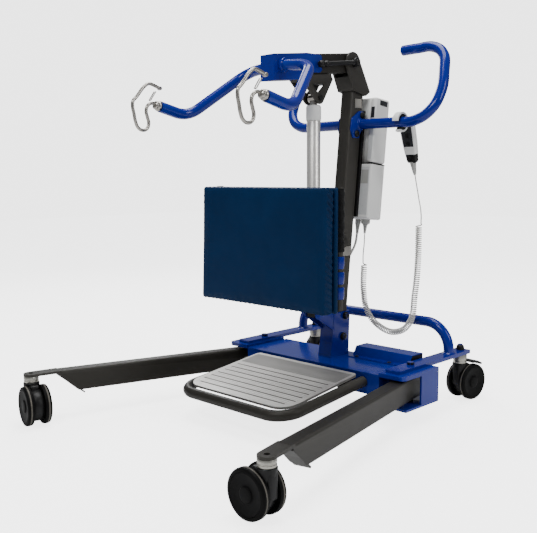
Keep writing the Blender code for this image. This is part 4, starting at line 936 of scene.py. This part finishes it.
def handset_loft(sections, matrix):
    """Closed form through rounded rectangles of (height, half width, half depth, corner)."""
    return from_bm(skin_of([handset_section(matrix, *section) for section in sections]), 40)


def handset():
    """Tapered hand control with a dark panel, two buttons, a strain relief and its hanging hook."""
    x = HANDSET_TOP.x
    top, axis, length = HANDSET_TOP, HANDSET_AXIS, HANDSET_LENGTH
    end = top + axis * length
    face = Vector((0, axis.z, -axis.y))
    matrix = Matrix.Translation(top) @ Matrix((Vector((1, 0, 0)), -face, axis)).transposed().to_4x4()
    body = handset_loft(mm((-10, 15, 6, 4), (-7.5, 19.5, 8.5, 5), (0, 22, 9, 5), (40, 20.8, 9, 5),
                           (70, 18.2, 9, 5), (73.5, 17.8, 9, 5)), matrix)
    put(body, "handset_body", WHITE_PLASTIC, "chassis")
    foot = handset_loft([(0.0736, 0.0172, 0.0084, 0.0050), (0.0760, 0.0172, 0.0086, 0.0050),
                         (0.0930, 0.0152, 0.0086, 0.0050), (length, 0.0128, 0.0070, 0.0045)], matrix)
    put(foot, "handset_foot", BLACK_PLASTIC, "chassis")
    panel = handset_loft([(-0.0020, 0.0170, 0.0004, 0.0003), (0.0520, 0.0155, 0.0004, 0.0003)],
                         matrix @ Matrix.Translation((0, -0.0091, 0)))
    put(panel, "handset_panel", DARK_PRINT, "chassis")
    tip = end + axis * 0.035
    nose = lathe(mm((0, -2), (8.8, -2), (8.6, 3), (7.4, 8), (7.8, 8.6), (6.6, 15), (6.9, 15.6), (5.7, 22),
                    (6, 22.6), (4.8, 29), (3.6, 35), (0, 35)), end, tip, 32)
    put(nose, "handset_nose", GREY_PLASTIC, "chassis")
    centre = Vector((x, 0.301, 0.760))
    shells = [("handset_hook", WHITE_PLASTIC, "plastic_white", 0.0212, 0.0264, 0.0085, -115, 290),
              ("hook_lining", BLACK_PLASTIC, "plastic_black", 0.0149, 0.0212, 0.0074, -112, 284)]
    for name, mat, slot, inner, outer, half, low, sweep in shells:
        section = [(-half, inner), (-half, outer - 0.0006), (-half + 0.0008, outer), (half - 0.0008, outer),
                   (half, outer - 0.0006), (half, inner)]
        rows = []
        for k in range(45):
            a = math.radians(low + sweep * k / 44)
            rows.append([centre + Vector((across, r * math.cos(a), r * math.sin(a)))
                         for across, r in section])
        put(from_bm(skin_of(rows), 35), name, mat, "chassis",
            ["handset_shell"] if name == "handset_hook" else ())
    for name, step, mover in (("button_up", 0.022, "up_button"), ("button_down", 0.044, "down_button")):
        spot = top + axis * step + face * 0.0090
        key = lathe(mm((0, 2), (4.5, 1.9), (6.6, 1.3), (7.6, 0), (7.6, -3), (0, -3)), spot, spot + face, 32)
        put(key, f"key_{name}", BLACK_PLASTIC, mover, [name])


def base_details():
    """Bolts, knobs, cover screws and the cover's black end."""
    for side, label in SIDES:
        hex_head((side * PIVOT.x, PIVOT.y, 0.1401), (0, 0, 1), 0.0100, 0.0068, f"leg_bolt_{label}")
        place = Vector((side * RAIL_X, REAR_STEM_Y, 0.1401))
        nut = lathe(mm((0, 0), (11, 0), (11.2, 5), (10.6, 7.5), (9.6, 11), (7.6, 14), (4, 15.8), (0, 16.2)),
                    place, place + Vector((0, 0, 1)), 32, 60)
        put(nut, f"rear_nut_{label}", BLACK_PLASTIC, "chassis")
    for index, (y, z) in enumerate(((0.2375, 0.2340), (0.2280, 0.1770))):
        knob = lathe(mm((0, 10.5), (6, 10), (9.2, 8), (10.4, 4.5), (10.4, 0), (0, 0)), (0.0226, y, z),
                     (0.06, y, z), 32, 60)
        put(knob, f"socket_knob_{index}", BLACK_PLASTIC, "chassis")
    for index, x in enumerate((0.072, 0.180)):
        dome_nut((x, 0.2290, 0.1272), (0, 0, 1), 0.0058, 0.0042, f"cover_screw_{index}")
    shape = mm((242.4, 126.2), (255.2, 149.2), (302, 149.2), (302.8, 148.4), (302.8, 126.2))
    put(plate_of(shape, 0.2318, 0.0026, 0.0005), "cover_end", BLACK_PLASTIC, "chassis")


def carried_nodes():
    """Procedural finishes for the CAD nodes that stay."""
    finishes = {
        BLUE: ("base_crossmember", "side_rail_left", "side_rail_right", "mast_socket", "base_cover",
               "spreader_sleeve"),
        BRONZE: ("leg_left", "leg_right", "mast", "mast_head", "boom_tube", "actuator_bracket", "pad_frame",
                 "footplate_frame"),
        TREAD: ("footplate_tread",),
        STAINLESS: ("clip_upper", "clip_lower", "actuator_rod"),
        ZINC: ("leg_spread_bar",),
        BLACK_PLASTIC: ("leg_actuator",)}
    for mat, names in finishes.items():
        for name in names:
            NODES[name].data.materials.clear()
            NODES[name].data.materials.append(mat)


camera()
studio()
curly_cord()
handles()
arms_and_hooks()
push_bar()
casters()
knee_pad()
pad_mount()
footplate()
lift_actuator()
tie_rod()
control_box()
handset()
base_details()
carried_nodes()
